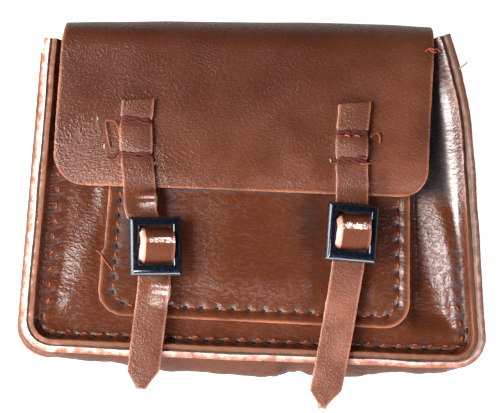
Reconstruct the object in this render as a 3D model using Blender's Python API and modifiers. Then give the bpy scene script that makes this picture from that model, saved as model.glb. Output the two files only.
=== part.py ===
# A small satchel of thin leather, lying on its back with its flap fastened by two straps.
# Metres. +Z points up out of the front, +Y runs to the bag's top, +X to the viewer's right.
# The origin lies on the flat outer face of the back, half way up the body.

import math

import bmesh
import bpy
from mathutils import Vector

# Leather and clearances
LEATHER = 0.0010
GAP = 0.0003

# Body: measured along the line where the front panel bends forward into its seam. Its right
# side is a little the taller, and towards the mouth both sides draw in.
BODY_WIDTH_TOP = 0.0750
BODY_WIDTH_BOTTOM = 0.0828
BODY_HEIGHT = 0.0584
BODY_DEPTH = 0.0185
ORIGIN_HEIGHT = 0.0285
SEAM_CORNER = 0.0030
KEYSTONE = 0.04
TUCK_LEFT = 0.0
TUCK_RIGHT = 0.0030
TUCK_SHARE = 0.30
TUCK_POWER = 1.6

# Seams: the front one stands up with raw edges, the rear one lies flat on the back
FLANGE_LENGTH = 0.0022
FLANGE_LEAN = math.radians(30)
BEND_RADIUS = 0.0009
REAR_MARGIN = 0.0031
REAR_INSET = 0.0003

# Gusset: how far its wall swells between the seams, the share of that at the mouth, and how
# fast the bottom's swelling grows from its ends
SIDE_BULGE = 0.0018
BOTTOM_BULGE = 0.0044
MOUTH_BULGE = 0.3
BOTTOM_FULLNESS = 0.7

# Soft dents in the bottom of the gusset: place across the bottom, depth as a share of the
# bottom bulge, and width as a share of the bottom
DENT_COLUMNS = ("place", "depth", "width")
GUSSET_DENTS = (
    (0.16, 0.16, 0.05),
    (0.41, 0.07, 0.04),
    (0.63, 0.14, 0.05),
    (0.86, 0.18, 0.06),
)

# Front panel: how far it swells forward on each side, between its seam and the pocket, and
# how far its mouth is scooped out under the flap
PANEL_SWELL = 0.0007
MOUTH_SCOOP = 0.0035
SCOOP_SQUARENESS = 8

# Flap: the back carries on over the mouth and down the front
FLAP_WIDTH = 0.0712
FLAP_REACH = 0.0294
FLAP_SHIFT_FOLD = 0.0012
FLAP_SHIFT_LIP = 0.0029
FLAP_LIFT = 0.0030
FLAP_DROOP = 0.0007
DROOP_SQUARENESS = 4
FOLD_OVERHANG = 0.0033
FOLD_REAR_RADIUS = 0.0030
FOLD_FRONT_RADIUS = 0.0062
FOLD_CROWN = 0.0010
FOLD_SLANT = 0.0010
FOLD_TUCK = 0.0010
SHOULDER_LENGTH = 0.0022
LIP_SLANT = 0.0007
LIP_CORNER_LEFT = 0.0060
LIP_CORNER_RIGHT = 0.0053

# Pocket: a patch with a flat stitched border and a raised middle
POCKET_WIDTH = 0.0590
POCKET_HEIGHT = 0.0385
POCKET_RISE = 0.0043
POCKET_SLANT = 0.0010
POCKET_TAPER = 0.0026
POCKET_CORNER = 0.0050
POCKET_BORDER = 0.0026
POCKET_SLOPE = 0.0060
POCKET_CROWN = 0.0013

# Straps
STRAP_WIDTH = 0.0060
STRAP_PUFF = 0.0005
TAIL_POINT = 0.0033

# Buckles: a frame with one bar across its middle, and the play that the strap has in it
BUCKLE_SIDE_PLAY = 0.0003
BUCKLE_ARCH_PLAY = 0.0005
BUCKLE_RIM = 0.0016
BUCKLE_THICKNESS = 0.0020
BUCKLE_BEVEL = 0.0005
BAR_RADIUS = 0.0005
BAR_LIFT = 0.0005
TAB_WIDTH = 0.0050
TAB_LENGTH = 0.0060
TAB_LEATHER = 0.0009
TAB_NECK = 0.6

# What differs from one strap to the other. "end", "rows", "drop" and "tail" are lengths from
# the flap's lip or from the bottom seam, and the sways are shares of the strap's width from
# the buckle's middle.
STRAPS = {
    "left": {
        "x": -0.0194,
        "end": 0.0166,
        "rows": (0.0126, 0.0062),
        "drop": 0.0110,
        "lean": math.radians(1.5),
        "tail": 0.0085,
        "tip": 0.25,
        "sway": {"end": -0.58, "rows": -0.64, "lip": -0.50, "above": -0.38,
                 "buckle": 0.00, "hem": -0.20, "tip": -0.36},
    },
    "right": {
        "x": 0.0177,
        "end": 0.0169,
        "rows": (0.0112, 0.0060),
        "drop": 0.0078,
        "lean": math.radians(-4.0),
        "tail": 0.0118,
        "tip": 0.06,
        "sway": {"end": 0.11, "rows": 0.00, "lip": 0.04, "above": 0.03,
                 "buckle": 0.00, "hem": -0.47, "tip": -0.84},
    },
}

# How finely the soft pieces are divided
SIDE_STEPS = 11
CORNER_STEPS = 5
ACROSS_STEPS = 18
EDGE_PACKING = 0.8
SCOOPED_ROWS = 4
MOUTH_ROWS = 3
GUSSET_STEPS = 7
SEAM_STEPS = 3
STRAP_ON_FLAP_STEPS = 12
STRAP_DROP_STEPS = 6
STRAP_TAIL_STEPS = 16
MERGE_DISTANCE = 0.000001

LEATHER_COLOUR = (0.150, 0.050, 0.026, 1.0)
LEATHER_ROUGHNESS = 0.45
BUCKLE_COLOUR = (0.012, 0.014, 0.022, 1.0)
BUCKLE_ROUGHNESS = 0.12

BODY_BOTTOM = -ORIGIN_HEIGHT
BODY_TOP = BODY_BOTTOM + BODY_HEIGHT
PANEL_Z = BODY_DEPTH - LEATHER / 2
LAYER = LEATHER + GAP
REAR_FLANGE_Z = LEATHER / 2 + LAYER
BEND_TURN = math.pi / 2 - FLANGE_LEAN
BEND_REACH = BEND_RADIUS * math.sin(BEND_TURN)
SEAM_Z = PANEL_Z + BEND_RADIUS * (1 - math.cos(BEND_TURN))
FLANGE_TOP = SEAM_Z + FLANGE_LENGTH * math.cos(FLANGE_LEAN) + LEATHER * math.sin(FLANGE_LEAN) / 2
POCKET_Z = PANEL_Z + LAYER
POCKET_TOP = POCKET_Z + LEATHER / 2 + POCKET_CROWN
FLAP_Z = BODY_DEPTH + FLAP_LIFT + LEATHER / 2
FOLD_Y = BODY_TOP + FOLD_OVERHANG
LIP_Y = BODY_TOP - FLAP_REACH
STRAP_ON_FLAP_Z = FLAP_Z + LAYER
BUCKLE_Z = POCKET_TOP + GAP + TAB_LEATHER + GAP + LEATHER + GAP
BAR_Z = BUCKLE_Z + BAR_LIFT
UNDER_BAR = GAP + LEATHER / 2
OVER_BAR = BAR_RADIUS + TAB_LEATHER + 2 * GAP + LEATHER / 2
STRAP_UNDER_BAR_Z = BUCKLE_Z - UNDER_BAR
WINDOW_WIDTH = STRAP_WIDTH + 2 * BUCKLE_SIDE_PLAY
WINDOW_HEIGHT = 2 * math.sqrt((UNDER_BAR + OVER_BAR + BUCKLE_ARCH_PLAY) ** 2 - BAR_LIFT ** 2)
BUCKLE_WIDTH = WINDOW_WIDTH + 2 * BUCKLE_RIM
BUCKLE_HEIGHT = WINDOW_HEIGHT + 2 * BUCKLE_RIM


def blend(value, low, high):
    share = min(max((value - low) / (high - low), 0.0), 1.0)
    return share * share * (3 - 2 * share)


def through(points, place):
    """A smooth curve through (place, value) pairs, read at one place."""
    points = sorted(points)
    if place <= points[0][0]:
        return points[0][1]
    if place >= points[-1][0]:
        return points[-1][1]
    slopes = []
    for i in range(len(points)):
        before = points[max(i - 1, 0)]
        after = points[min(i + 1, len(points) - 1)]
        slopes.append((after[1] - before[1]) / (after[0] - before[0]))
    for i in range(len(points) - 1):
        (p0, v0), (p1, v1) = points[i], points[i + 1]
        if p0 <= place <= p1:
            step = p1 - p0
            s = (place - p0) / step
            rise = (2 * s - 3) * s * s * (v0 - v1) + v0
            swing = s * (1 - s) * step * (slopes[i] * (1 - s) - slopes[i + 1] * s)
            return rise + swing


def clear_scene():
    for item in list(bpy.data.objects):
        bpy.data.objects.remove(item, do_unlink=True)


def make_collection(name):
    collection = bpy.data.collections.new(name)
    bpy.context.scene.collection.children.link(collection)
    return collection


def make_material(name, colour, roughness):
    material = bpy.data.materials.new(name)
    material.use_nodes = True
    shader = material.node_tree.nodes["Principled BSDF"]
    shader.inputs["Base Color"].default_value = colour
    shader.inputs["Roughness"].default_value = roughness
    shader.inputs["Metallic"].default_value = 0.0
    material.diffuse_color = colour
    return material


def add_object(name, mesh, collection, colour, roughness):
    mesh.materials.clear()
    mesh.materials.append(make_material(name, colour, roughness))
    part = bpy.data.objects.new(name, mesh)
    collection.objects.link(part)
    return part


def loft(name, rows, collection):
    """An open leather sheet through rows of points, given its thickness about that sheet."""
    sheet = bmesh.new()
    lines = [[sheet.verts.new(point) for point in row] for row in rows]
    for line, following in zip(lines, lines[1:]):
        for i in range(len(line) - 1):
            sheet.faces.new((line[i], following[i], following[i + 1], line[i + 1]))
    bmesh.ops.remove_doubles(sheet, verts=sheet.verts, dist=MERGE_DISTANCE)
    return finish_sheet(name, sheet, collection)


def finish_sheet(name, sheet, collection):
    bmesh.ops.recalc_face_normals(sheet, faces=sheet.faces)
    mesh = bpy.data.meshes.new(name)
    sheet.to_mesh(mesh)
    sheet.free()
    mesh.shade_smooth()
    part = add_object(name, mesh, collection, LEATHER_COLOUR, LEATHER_ROUGHNESS)
    wall = part.modifiers.new("thickness", "SOLIDIFY")
    wall.thickness = LEATHER
    wall.offset = 0.0
    wall.use_even_offset = True
    return part


def body_half_width(y):
    share = (y - BODY_BOTTOM) / BODY_HEIGHT
    return BODY_WIDTH_BOTTOM / 2 + (BODY_WIDTH_TOP - BODY_WIDTH_BOTTOM) / 2 * share


def side_rows(bottom, top, half_width, corner):
    """Heights and half widths from the top of a U-shaped outline to its bottom edge."""
    rows = []
    start = bottom + corner
    for i in range(SIDE_STEPS):
        y = top + (start - top) * i / SIDE_STEPS
        rows.append((y, half_width(y)))
    for i in range(CORNER_STEPS + 1):
        turn = math.pi / 2 * i / CORNER_STEPS
        y = start - corner * math.sin(turn)
        rows.append((y, half_width(start) - corner * (1 - math.cos(turn))))
    return rows


def across(half, step):
    """The place of one of a row's points: they lie closer together towards the two edges."""
    reach = (2 * step / ACROSS_STEPS - 1) * EDGE_PACKING * math.pi / 2
    return half * math.sin(reach) / math.sin(EDGE_PACKING * math.pi / 2)


def tuck(y, amount):
    """How far one side has drawn in at a height, which is its full amount at the mouth."""
    start = BODY_TOP - TUCK_SHARE * BODY_HEIGHT
    return amount * max((y - start) / (BODY_TOP - start), 0.0) ** TUCK_POWER


def keystone(x, y):
    return y * (1 + KEYSTONE * 2 * x / BODY_WIDTH_BOTTOM)


def side_outline(side, amount):
    """One side of the seam and its corner, from the mouth down, with its outward directions."""
    def reach(y):
        return body_half_width(y) - tuck(y, amount)

    points = []
    step = BODY_HEIGHT / 1000
    for i, (y, half) in enumerate(side_rows(BODY_BOTTOM, BODY_TOP, reach, SEAM_CORNER)):
        turn = math.pi / 2 * max(i - SIDE_STEPS, 0) / CORNER_STEPS
        normal = Vector((math.cos(turn), -math.sin(turn)))
        if turn == 0:
            normal = Vector((step, reach(y - step) - reach(y))).normalized()
        points.append((Vector((side * half, keystone(side * half, y))), Vector((side * normal.x, normal.y))))
    return points


def seam_outline():
    """Points of the seam with their outward directions, down the left side and up the right."""
    left = side_outline(-1, TUCK_LEFT)
    right = side_outline(1, TUCK_RIGHT)
    reach = right[-1][0].x
    bottom = []
    for i in range(1, ACROSS_STEPS):
        x = reach * (2 * i / ACROSS_STEPS - 1)
        bottom.append((Vector((x, keystone(x, BODY_BOTTOM))), Vector((0.0, -1.0))))
    return left + bottom + right[::-1]


def at(outline_point, outward, z):
    point, normal = outline_point
    place = point + normal * outward
    return (place.x, place.y, z)


def front_bend():
    """The front seam's section: how far out and how high the panel's middle layer runs."""
    section = []
    for i in range(1, SEAM_STEPS + 1):
        turn = BEND_TURN * i / SEAM_STEPS
        out = BEND_RADIUS * math.sin(turn) - BEND_REACH
        section.append((out, PANEL_Z + BEND_RADIUS * (1 - math.cos(turn))))
    out, z = section[-1]
    section.append((out + FLANGE_LENGTH * math.sin(FLANGE_LEAN), z + FLANGE_LENGTH * math.cos(FLANGE_LEAN)))
    return section


def build_front_panel(collection):
    outline = seam_outline()
    side = SIDE_STEPS + CORNER_STEPS
    sheet = bmesh.new()
    rim = [sheet.verts.new(at(p, -BEND_REACH, PANEL_Z)) for p in outline]
    lines = []
    for i in range(side):
        left, right = rim[i], rim[-1 - i]
        line = [left]
        half = (right.co.x - left.co.x) / 2
        margin = half - POCKET_WIDTH / 2
        scoop = MOUTH_SCOOP * blend(SCOOPED_ROWS - i, 0, SCOOPED_ROWS)
        for j in range(1, ACROSS_STEPS):
            from_middle = across(half, j)
            place = left.co.lerp(right.co, (from_middle / half + 1) / 2)
            share = min((half - abs(from_middle)) / margin, 1.0)
            swell = math.sin(math.pi * share) * blend(place.y, BODY_BOTTOM, BODY_BOTTOM + margin)
            place.y -= scoop * (1 - abs(from_middle / half) ** SCOOP_SQUARENESS)
            place.z += PANEL_SWELL * swell
            line.append(sheet.verts.new(place))
        line.append(right)
        lines.append(line)
    lines.append(rim[side:len(rim) - side])
    for line, following in zip(lines, lines[1:]):
        for i in range(ACROSS_STEPS):
            sheet.faces.new((line[i], following[i], following[i + 1], line[i + 1]))
    ring = rim
    for out, z in front_bend():
        following = [sheet.verts.new(at(p, out, z)) for p in outline]
        for i in range(len(ring) - 1):
            sheet.faces.new((ring[i], following[i], following[i + 1], ring[i + 1]))
        ring = following
    return finish_sheet("front_panel", sheet, collection)


def dent_depth(share):
    depth = 0.0
    for row in GUSSET_DENTS:
        dent = dict(zip(DENT_COLUMNS, row))
        depth += dent["depth"] * math.exp(-((share - dent["place"]) / dent["width"]) ** 2)
    return depth


def bulge_at(index, count):
    """The gusset's swelling at one point of the seam, greatest along the middle of the bottom."""
    side = SIDE_STEPS + CORNER_STEPS
    if index < side or index > count - 1 - side:
        from_end = min(index, count - 1 - index)
        return SIDE_BULGE * (MOUTH_BULGE + (1 - MOUTH_BULGE) * blend(from_end, 0, MOUTH_ROWS))
    share = (index - side) / ACROSS_STEPS
    swell = math.sin(math.pi * share) ** BOTTOM_FULLNESS if 0 < share < 1 else 0.0
    return SIDE_BULGE + (BOTTOM_BULGE - SIDE_BULGE) * swell - BOTTOM_BULGE * dent_depth(share)


def gusset_section(bulge):
    lean = Vector((math.sin(FLANGE_LEAN), math.cos(FLANGE_LEAN)))
    away = Vector((math.cos(FLANGE_LEAN), -math.sin(FLANGE_LEAN)))
    seam = Vector((0.0, SEAM_Z)) + away * LAYER
    section = [Vector((REAR_MARGIN, REAR_FLANGE_Z))]
    for i in range(SEAM_STEPS + 1):
        turn = math.pi / 2 * i / SEAM_STEPS
        out = REAR_INSET + BEND_RADIUS * (1 - math.sin(turn))
        section.append(Vector((out, REAR_FLANGE_Z + BEND_RADIUS * (1 - math.cos(turn)))))
    foot = section[-1]
    for i in range(1, GUSSET_STEPS):
        share = i / GUSSET_STEPS
        place = foot.lerp(seam, share)
        section.append(Vector((place.x + bulge * math.sin(math.pi * share), place.y)))
    section.append(seam)
    tip = FLANGE_LENGTH + LAYER * math.tan(FLANGE_LEAN)
    section.append(seam + lean * tip)
    return section


def build_gusset(collection):
    outline = seam_outline()
    rows = []
    for i, point in enumerate(outline):
        section = gusset_section(bulge_at(i, len(outline)))
        rows.append([at(point, place.x, place.y) for place in section])
    return loft("gusset", rows, collection)


def pattern_lengths():
    """Lengths along the back's middle layer, from its bottom edge, at which its places lie."""
    arc_start = FOLD_Y - FOLD_REAR_RADIUS - (BODY_BOTTOM - REAR_MARGIN)
    wall = arc_start + FOLD_REAR_RADIUS * math.pi / 2
    front = wall + FLAP_Z - FOLD_FRONT_RADIUS - LEATHER / 2 - FOLD_REAR_RADIUS
    flap = front + FOLD_FRONT_RADIUS * math.pi / 2
    lip = flap + FOLD_Y - FOLD_FRONT_RADIUS - LIP_Y
    return {"shoulder": BODY_HEIGHT + REAR_MARGIN, "arc": arc_start, "wall": wall,
            "ridge": (wall + front) / 2, "front": front, "flap": flap, "lip": lip}


def fold_profile(length, places):
    """Where the back's middle layer runs at a length along it: (y, z)."""
    if length <= places["arc"]:
        return BODY_BOTTOM - REAR_MARGIN + length, LEATHER / 2
    if length <= places["wall"]:
        turn = (length - places["arc"]) / FOLD_REAR_RADIUS
        y = FOLD_Y - FOLD_REAR_RADIUS * (1 - math.sin(turn))
        return y, LEATHER / 2 + FOLD_REAR_RADIUS * (1 - math.cos(turn))
    if length <= places["front"]:
        return FOLD_Y, LEATHER / 2 + FOLD_REAR_RADIUS + length - places["wall"]
    if length <= places["flap"]:
        turn = (length - places["front"]) / FOLD_FRONT_RADIUS
        y = FOLD_Y - FOLD_FRONT_RADIUS * (1 - math.cos(turn))
        return y, FLAP_Z - FOLD_FRONT_RADIUS * (1 - math.sin(turn))
    return FOLD_Y - FOLD_FRONT_RADIUS - (length - places["flap"]), FLAP_Z


def corner_inset(distance, radius):
    if distance >= radius:
        return 0.0
    return radius - math.sqrt(max(radius ** 2 - (radius - distance) ** 2, 0.0))


def pattern_steps(places):
    """Where the rows of the back and flap lie: close at corners and folds, wide on the flat."""
    corner = SEAM_CORNER + REAR_MARGIN
    lip_corner = max(LIP_CORNER_LEFT, LIP_CORNER_RIGHT)
    steps = [corner * (1 - math.cos(math.pi / 2 * i / CORNER_STEPS)) for i in range(CORNER_STEPS)]
    stretches = (
        (corner, places["shoulder"], 5),
        (places["shoulder"], places["shoulder"] + SHOULDER_LENGTH, 2),
        (places["shoulder"] + SHOULDER_LENGTH, places["wall"], 3),
        (places["wall"], places["front"], 2),
        (places["front"], places["flap"], 7),
        (places["flap"], places["lip"] - lip_corner, 5),
    )
    for low, high, count in stretches:
        steps += [low + (high - low) * i / count for i in range(count)]
    for i in range(CORNER_STEPS + 1):
        steps.append(places["lip"] - lip_corner * (1 - math.sin(math.pi / 2 * i / CORNER_STEPS)))
    return steps


def pattern_sides(length, places):
    """The back and flap piece's left and right edges at one length along it."""
    corner = SEAM_CORNER + REAR_MARGIN
    y = min(max(BODY_BOTTOM - REAR_MARGIN + length, BODY_BOTTOM + SEAM_CORNER), BODY_TOP)
    back_half = body_half_width(y) + REAR_MARGIN - corner_inset(length, corner)
    neck = blend(length, places["shoulder"], places["shoulder"] + SHOULDER_LENGTH)
    down_flap = blend(length, places["ridge"], places["lip"])
    shift = FLAP_SHIFT_FOLD + (FLAP_SHIFT_LIP - FLAP_SHIFT_FOLD) * down_flap
    at_fold = 1 - blend(length, places["front"], places["flap"])
    left = (tuck(y, TUCK_LEFT) - back_half) * (1 - neck)
    left += (FOLD_TUCK * at_fold - shift - FLAP_WIDTH / 2) * neck
    right = (back_half - tuck(y, TUCK_RIGHT)) * (1 - neck)
    right += (FLAP_WIDTH / 2 - shift) * neck
    to_lip = places["lip"] - length
    left += corner_inset(to_lip, LIP_CORNER_LEFT)
    right -= corner_inset(to_lip, LIP_CORNER_RIGHT)
    return left, right


def build_back_and_flap(collection):
    places = pattern_lengths()
    rows = []
    for length in pattern_steps(places):
        left, right = pattern_sides(length, places)
        y, z = fold_profile(length, places)
        ridge = blend(length, places["arc"], places["ridge"]) * (1 - blend(length, places["ridge"], places["flap"]))
        on_flap = blend(length, places["ridge"], places["flap"])
        slanted = blend(length, places["front"], places["lip"])
        off_back = blend(length, places["shoulder"], places["shoulder"] + SHOULDER_LENGTH)
        row = []
        for i in range(ACROSS_STEPS + 1):
            x = left + (right - left) * i / ACROSS_STEPS
            side = (2 * x - left - right) / FLAP_WIDTH
            dy = ridge * (FOLD_SLANT * side - FOLD_CROWN * side ** 2) - slanted * LIP_SLANT * side
            dy += (keystone(x, y) - y) * (1 - off_back)
            dz = -on_flap * FLAP_DROOP * side ** DROOP_SQUARENESS
            row.append((x, y + dy, z + dz))
        rows.append(row)
    return loft("back_and_flap", rows, collection)


def pocket_lift(inside):
    return POCKET_CROWN * blend(inside, POCKET_BORDER, POCKET_BORDER + POCKET_SLOPE)


def build_front_pocket(collection):
    bottom = BODY_BOTTOM + POCKET_RISE
    top = bottom + POCKET_HEIGHT
    half = POCKET_WIDTH / 2
    rows = []
    for y, row_half in side_rows(bottom, top, lambda _: half, POCKET_CORNER):
        row = []
        for i in range(ACROSS_STEPS + 1):
            x = across(row_half, i)
            inside = min(half - abs(x), y - bottom)
            if half - abs(x) < POCKET_CORNER and y - bottom < POCKET_CORNER:
                from_centre = math.hypot(abs(x) - (half - POCKET_CORNER), y - (bottom + POCKET_CORNER))
                inside = POCKET_CORNER - from_centre
            down = (top - y) / POCKET_HEIGHT
            slant = -POCKET_SLANT * x / half * down
            taper = POCKET_TAPER * (1 - down) * (1 - x / half) / 2
            row.append((x + taper, y + slant, POCKET_Z + pocket_lift(inside)))
        rows.append(row)
    return loft("front_pocket", rows, collection)


def arc(centre, radius, start, end, steps):
    points = []
    for i in range(steps + 1):
        angle = start + (end - start) * i / steps
        points.append((centre[0] + radius * math.cos(angle), centre[1] + radius * math.sin(angle)))
    return points


def buckle_arch(centre_y):
    """The strap's way under the buckle's top side, over its bar and under its bottom side."""
    edge = WINDOW_HEIGHT / 2
    centres_apart = UNDER_BAR + OVER_BAR + BUCKLE_ARCH_PLAY
    climb = math.pi - math.asin((UNDER_BAR + OVER_BAR) / centres_apart) - math.atan2(BAR_LIFT, edge)
    right_angle = math.pi / 2
    rise = arc((edge, BUCKLE_Z), UNDER_BAR, -right_angle, climb - 3 * right_angle, 3)
    top = arc((0.0, BAR_Z), OVER_BAR, climb - right_angle, right_angle, 4)
    down = [(-y, z) for y, z in (rise + top)[::-1]]
    path = rise + top + down[1:]
    return [(centre_y + y, z) for y, z in path]


def strap_places(strap):
    buckle = LIP_Y - strap["drop"]
    return {
        "end": LIP_Y + strap["end"],
        "upper_row": LIP_Y + strap["rows"][0],
        "lower_row": LIP_Y + strap["rows"][1],
        "lip": LIP_Y,
        "buckle": buckle,
        "above": buckle + BUCKLE_HEIGHT / 2,
        "below": buckle - BUCKLE_HEIGHT / 2,
        "hem": BODY_BOTTOM,
        "tip": BODY_BOTTOM - strap["tail"],
    }


def strap_middle(strap, y):
    places = strap_places(strap)
    sway = strap["sway"]
    window = WINDOW_HEIGHT / 2
    points = [
        (places["end"], sway["end"]),
        ((places["upper_row"] + places["lower_row"]) / 2, sway["rows"]),
        (places["lip"], sway["lip"]),
        (places["above"], sway["above"]),
        (places["buckle"] + window, sway["buckle"]),
        (places["buckle"] - window, sway["buckle"]),
        (places["hem"], sway["hem"]),
        (places["tip"], sway["tip"]),
    ]
    return strap["x"] + STRAP_WIDTH * through(points, y)


def strap_line(strap):
    """The strap's middle line from its sewn end to its tip: (y, z)."""
    places = strap_places(strap)
    arch = buckle_arch(places["buckle"])
    upper, lower = places["upper_row"], places["lower_row"]
    line = []
    for i in range(STRAP_ON_FLAP_STEPS):
        y = places["end"] + (places["lip"] - places["end"]) * i / STRAP_ON_FLAP_STEPS
        puff = 0.0
        if lower < y < upper:
            puff = STRAP_PUFF * math.sin(math.pi * (y - lower) / (upper - lower))
        line.append((y, STRAP_ON_FLAP_Z + puff))
    for i in range(STRAP_DROP_STEPS):
        y = places["lip"] + (arch[0][0] - places["lip"]) * i / STRAP_DROP_STEPS
        share = blend(y, arch[0][0], places["lip"])
        line.append((y, STRAP_UNDER_BAR_Z + (STRAP_ON_FLAP_Z - STRAP_UNDER_BAR_Z) * share))
    line += arch
    over_flange = FLANGE_TOP + GAP + LEATHER / 2
    past_tab = places["buckle"] - TAB_LENGTH - LAYER
    pocket_edge = min(BODY_BOTTOM + POCKET_RISE + POCKET_BORDER, past_tab - LAYER)
    heights = [
        (past_tab, STRAP_UNDER_BAR_Z),
        (pocket_edge, over_flange + 2 * GAP),
        (places["hem"], over_flange),
        (BODY_BOTTOM - BOTTOM_BULGE, over_flange - GAP),
        (places["tip"], over_flange - 3 * GAP),
    ]
    for i in range(1, STRAP_TAIL_STEPS + 1):
        y = arch[-1][0] + (places["tip"] - arch[-1][0]) * i / STRAP_TAIL_STEPS
        line.append((y, through(heights, y)))
    return line


def build_strap(side, strap, collection):
    tip = strap_places(strap)["tip"]
    rows = []
    for y, z in strap_line(strap):
        middle = strap_middle(strap, y)
        taper = min((y - tip) / TAIL_POINT, 1.0)
        half = STRAP_WIDTH / 2 * (strap["tip"] + (1 - strap["tip"]) * taper)
        rows.append([(middle + half * share, y, z) for share in (-1.0, 0.0, 1.0)])
    return loft("strap_" + side, rows, collection)


def place_on_strap(part, strap):
    part.location = (strap["x"], LIP_Y - strap["drop"], 0.0)
    part.rotation_euler = (0.0, 0.0, strap["lean"])


def primitive_block(size, centre):
    bpy.ops.mesh.primitive_cube_add(size=1.0, location=centre)
    block = bpy.context.object
    block.scale = size
    bpy.ops.object.transform_apply(location=True, rotation=True, scale=True)
    return block


def move_to(item, collection):
    for owner in list(item.users_collection):
        owner.objects.unlink(item)
    collection.objects.link(item)


def build_buckle(side, strap, collection, cutters):
    middle = BUCKLE_Z + BUCKLE_THICKNESS / 2
    frame = primitive_block((BUCKLE_WIDTH, BUCKLE_HEIGHT, BUCKLE_THICKNESS), (0.0, 0.0, middle))
    window_size = (WINDOW_WIDTH, WINDOW_HEIGHT, 2 * BUCKLE_THICKNESS)
    window = primitive_block(window_size, (0.0, 0.0, middle))
    bpy.ops.mesh.primitive_cylinder_add(
        vertices=12, radius=BAR_RADIUS, depth=BUCKLE_WIDTH - BUCKLE_RIM,
        location=(0.0, 0.0, BAR_Z), rotation=(0.0, math.pi / 2, 0.0))
    bar = bpy.context.object
    bpy.ops.object.transform_apply(location=True, rotation=True, scale=True)
    frame.name = "buckle_" + side
    frame.data.name = frame.name
    for cutter, label in ((window, "window_"), (bar, "bar_")):
        cutter.name = label + side
        cutter.hide_render = True
        cutter.display_type = "WIRE"
        move_to(cutter, cutters)
        place_on_strap(cutter, strap)
    move_to(frame, collection)
    place_on_strap(frame, strap)
    frame.data.materials.append(make_material(frame.name, BUCKLE_COLOUR, BUCKLE_ROUGHNESS))
    opening = frame.modifiers.new("window", "BOOLEAN")
    opening.operation = "DIFFERENCE"
    opening.object = window
    rounding = frame.modifiers.new("rounding", "BEVEL")
    rounding.width = min(BUCKLE_BEVEL, BUCKLE_THICKNESS / 3, BUCKLE_RIM / 3)
    rounding.segments = 2
    joining = frame.modifiers.new("bar", "BOOLEAN")
    joining.operation = "UNION"
    joining.object = bar
    return frame


def tab_outline():
    """The tab's side view round the buckle's bar, and the hole that the bar runs through."""
    inner = BAR_RADIUS + GAP
    outer = inner + TAB_LEATHER
    strip_top = STRAP_UNDER_BAR_Z - LEATHER / 2 - GAP
    strip_bottom = strip_top - TAB_LEATHER
    neck = outer * TAB_NECK
    reach = math.asin(neck / outer)
    ring = arc((0.0, BAR_Z), outer, -math.pi / 2 + reach, math.pi * 3 / 2 - reach, 14)
    foot = [(-neck, strip_top), (-TAB_LENGTH, strip_top), (-TAB_LENGTH, strip_bottom), (neck, strip_bottom)]
    hole = arc((0.0, BAR_Z), inner, 0.0, 2 * math.pi * 11 / 12, 11)
    return ring + foot, hole


def build_buckle_tab(side, strap, collection):
    curve = bpy.data.curves.new("tab_outline", "CURVE")
    curve.dimensions = "2D"
    curve.fill_mode = "BOTH"
    curve.extrude = TAB_WIDTH / 2
    for outline in tab_outline():
        spline = curve.splines.new("POLY")
        spline.points.add(len(outline) - 1)
        for point, (y, z) in zip(spline.points, outline):
            point.co = (y, z, 0.0, 1.0)
        spline.use_cyclic_u = True
    drawing = bpy.data.objects.new("tab_outline", curve)
    collection.objects.link(drawing)
    mesh = bpy.data.meshes.new_from_object(drawing.evaluated_get(bpy.context.evaluated_depsgraph_get()))
    bpy.data.objects.remove(drawing, do_unlink=True)
    solid = bmesh.new()
    solid.from_mesh(mesh)
    bmesh.ops.remove_doubles(solid, verts=solid.verts, dist=MERGE_DISTANCE)
    for vertex in solid.verts:
        y, z, x = vertex.co
        vertex.co = (x, y, z)
    solid.to_mesh(mesh)
    solid.free()
    tab = add_object("buckle_tab_" + side, mesh, collection, LEATHER_COLOUR, LEATHER_ROUGHNESS)
    place_on_strap(tab, strap)
    return tab


def main():
    clear_scene()
    satchel = make_collection("satchel")
    cutters = make_collection("cutters")
    build_back_and_flap(satchel)
    build_gusset(satchel)
    build_front_panel(satchel)
    build_front_pocket(satchel)
    for side, strap in STRAPS.items():
        build_strap(side, strap, satchel)
        build_buckle(side, strap, satchel, cutters)
        build_buckle_tab(side, strap, satchel)


main()
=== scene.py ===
import math

import bpy
from mathutils import Matrix, Vector, noise


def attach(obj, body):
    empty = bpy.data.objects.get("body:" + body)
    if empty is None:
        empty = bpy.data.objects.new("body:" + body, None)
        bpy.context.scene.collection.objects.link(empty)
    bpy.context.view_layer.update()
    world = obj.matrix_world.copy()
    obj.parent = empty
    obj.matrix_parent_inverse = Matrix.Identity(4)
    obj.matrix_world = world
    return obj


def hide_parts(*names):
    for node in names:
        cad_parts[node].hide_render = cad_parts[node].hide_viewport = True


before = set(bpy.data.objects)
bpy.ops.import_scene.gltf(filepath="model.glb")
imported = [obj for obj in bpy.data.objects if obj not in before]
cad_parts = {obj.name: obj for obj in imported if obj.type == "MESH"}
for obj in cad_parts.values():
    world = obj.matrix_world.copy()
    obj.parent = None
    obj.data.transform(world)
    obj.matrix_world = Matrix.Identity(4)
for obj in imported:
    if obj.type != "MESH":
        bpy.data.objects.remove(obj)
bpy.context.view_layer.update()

# The bag lies on its back: +z comes out of its front, +y runs to its top, +x to the viewer's right.

outOfFront = Vector((0.0, 0.0, 1.0))
camera = {"aim": (-0.0010, -0.0022, 0.0185), "distance": 0.48, "metresPerPixel": 0.00019, "photoWidth": 500,
          "left": 6.5, "below": 6.0, "roll": 0.4,   # degrees
          "sensor": 36.0, "nearest": 0.01, "farthest": 10.0}


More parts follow.
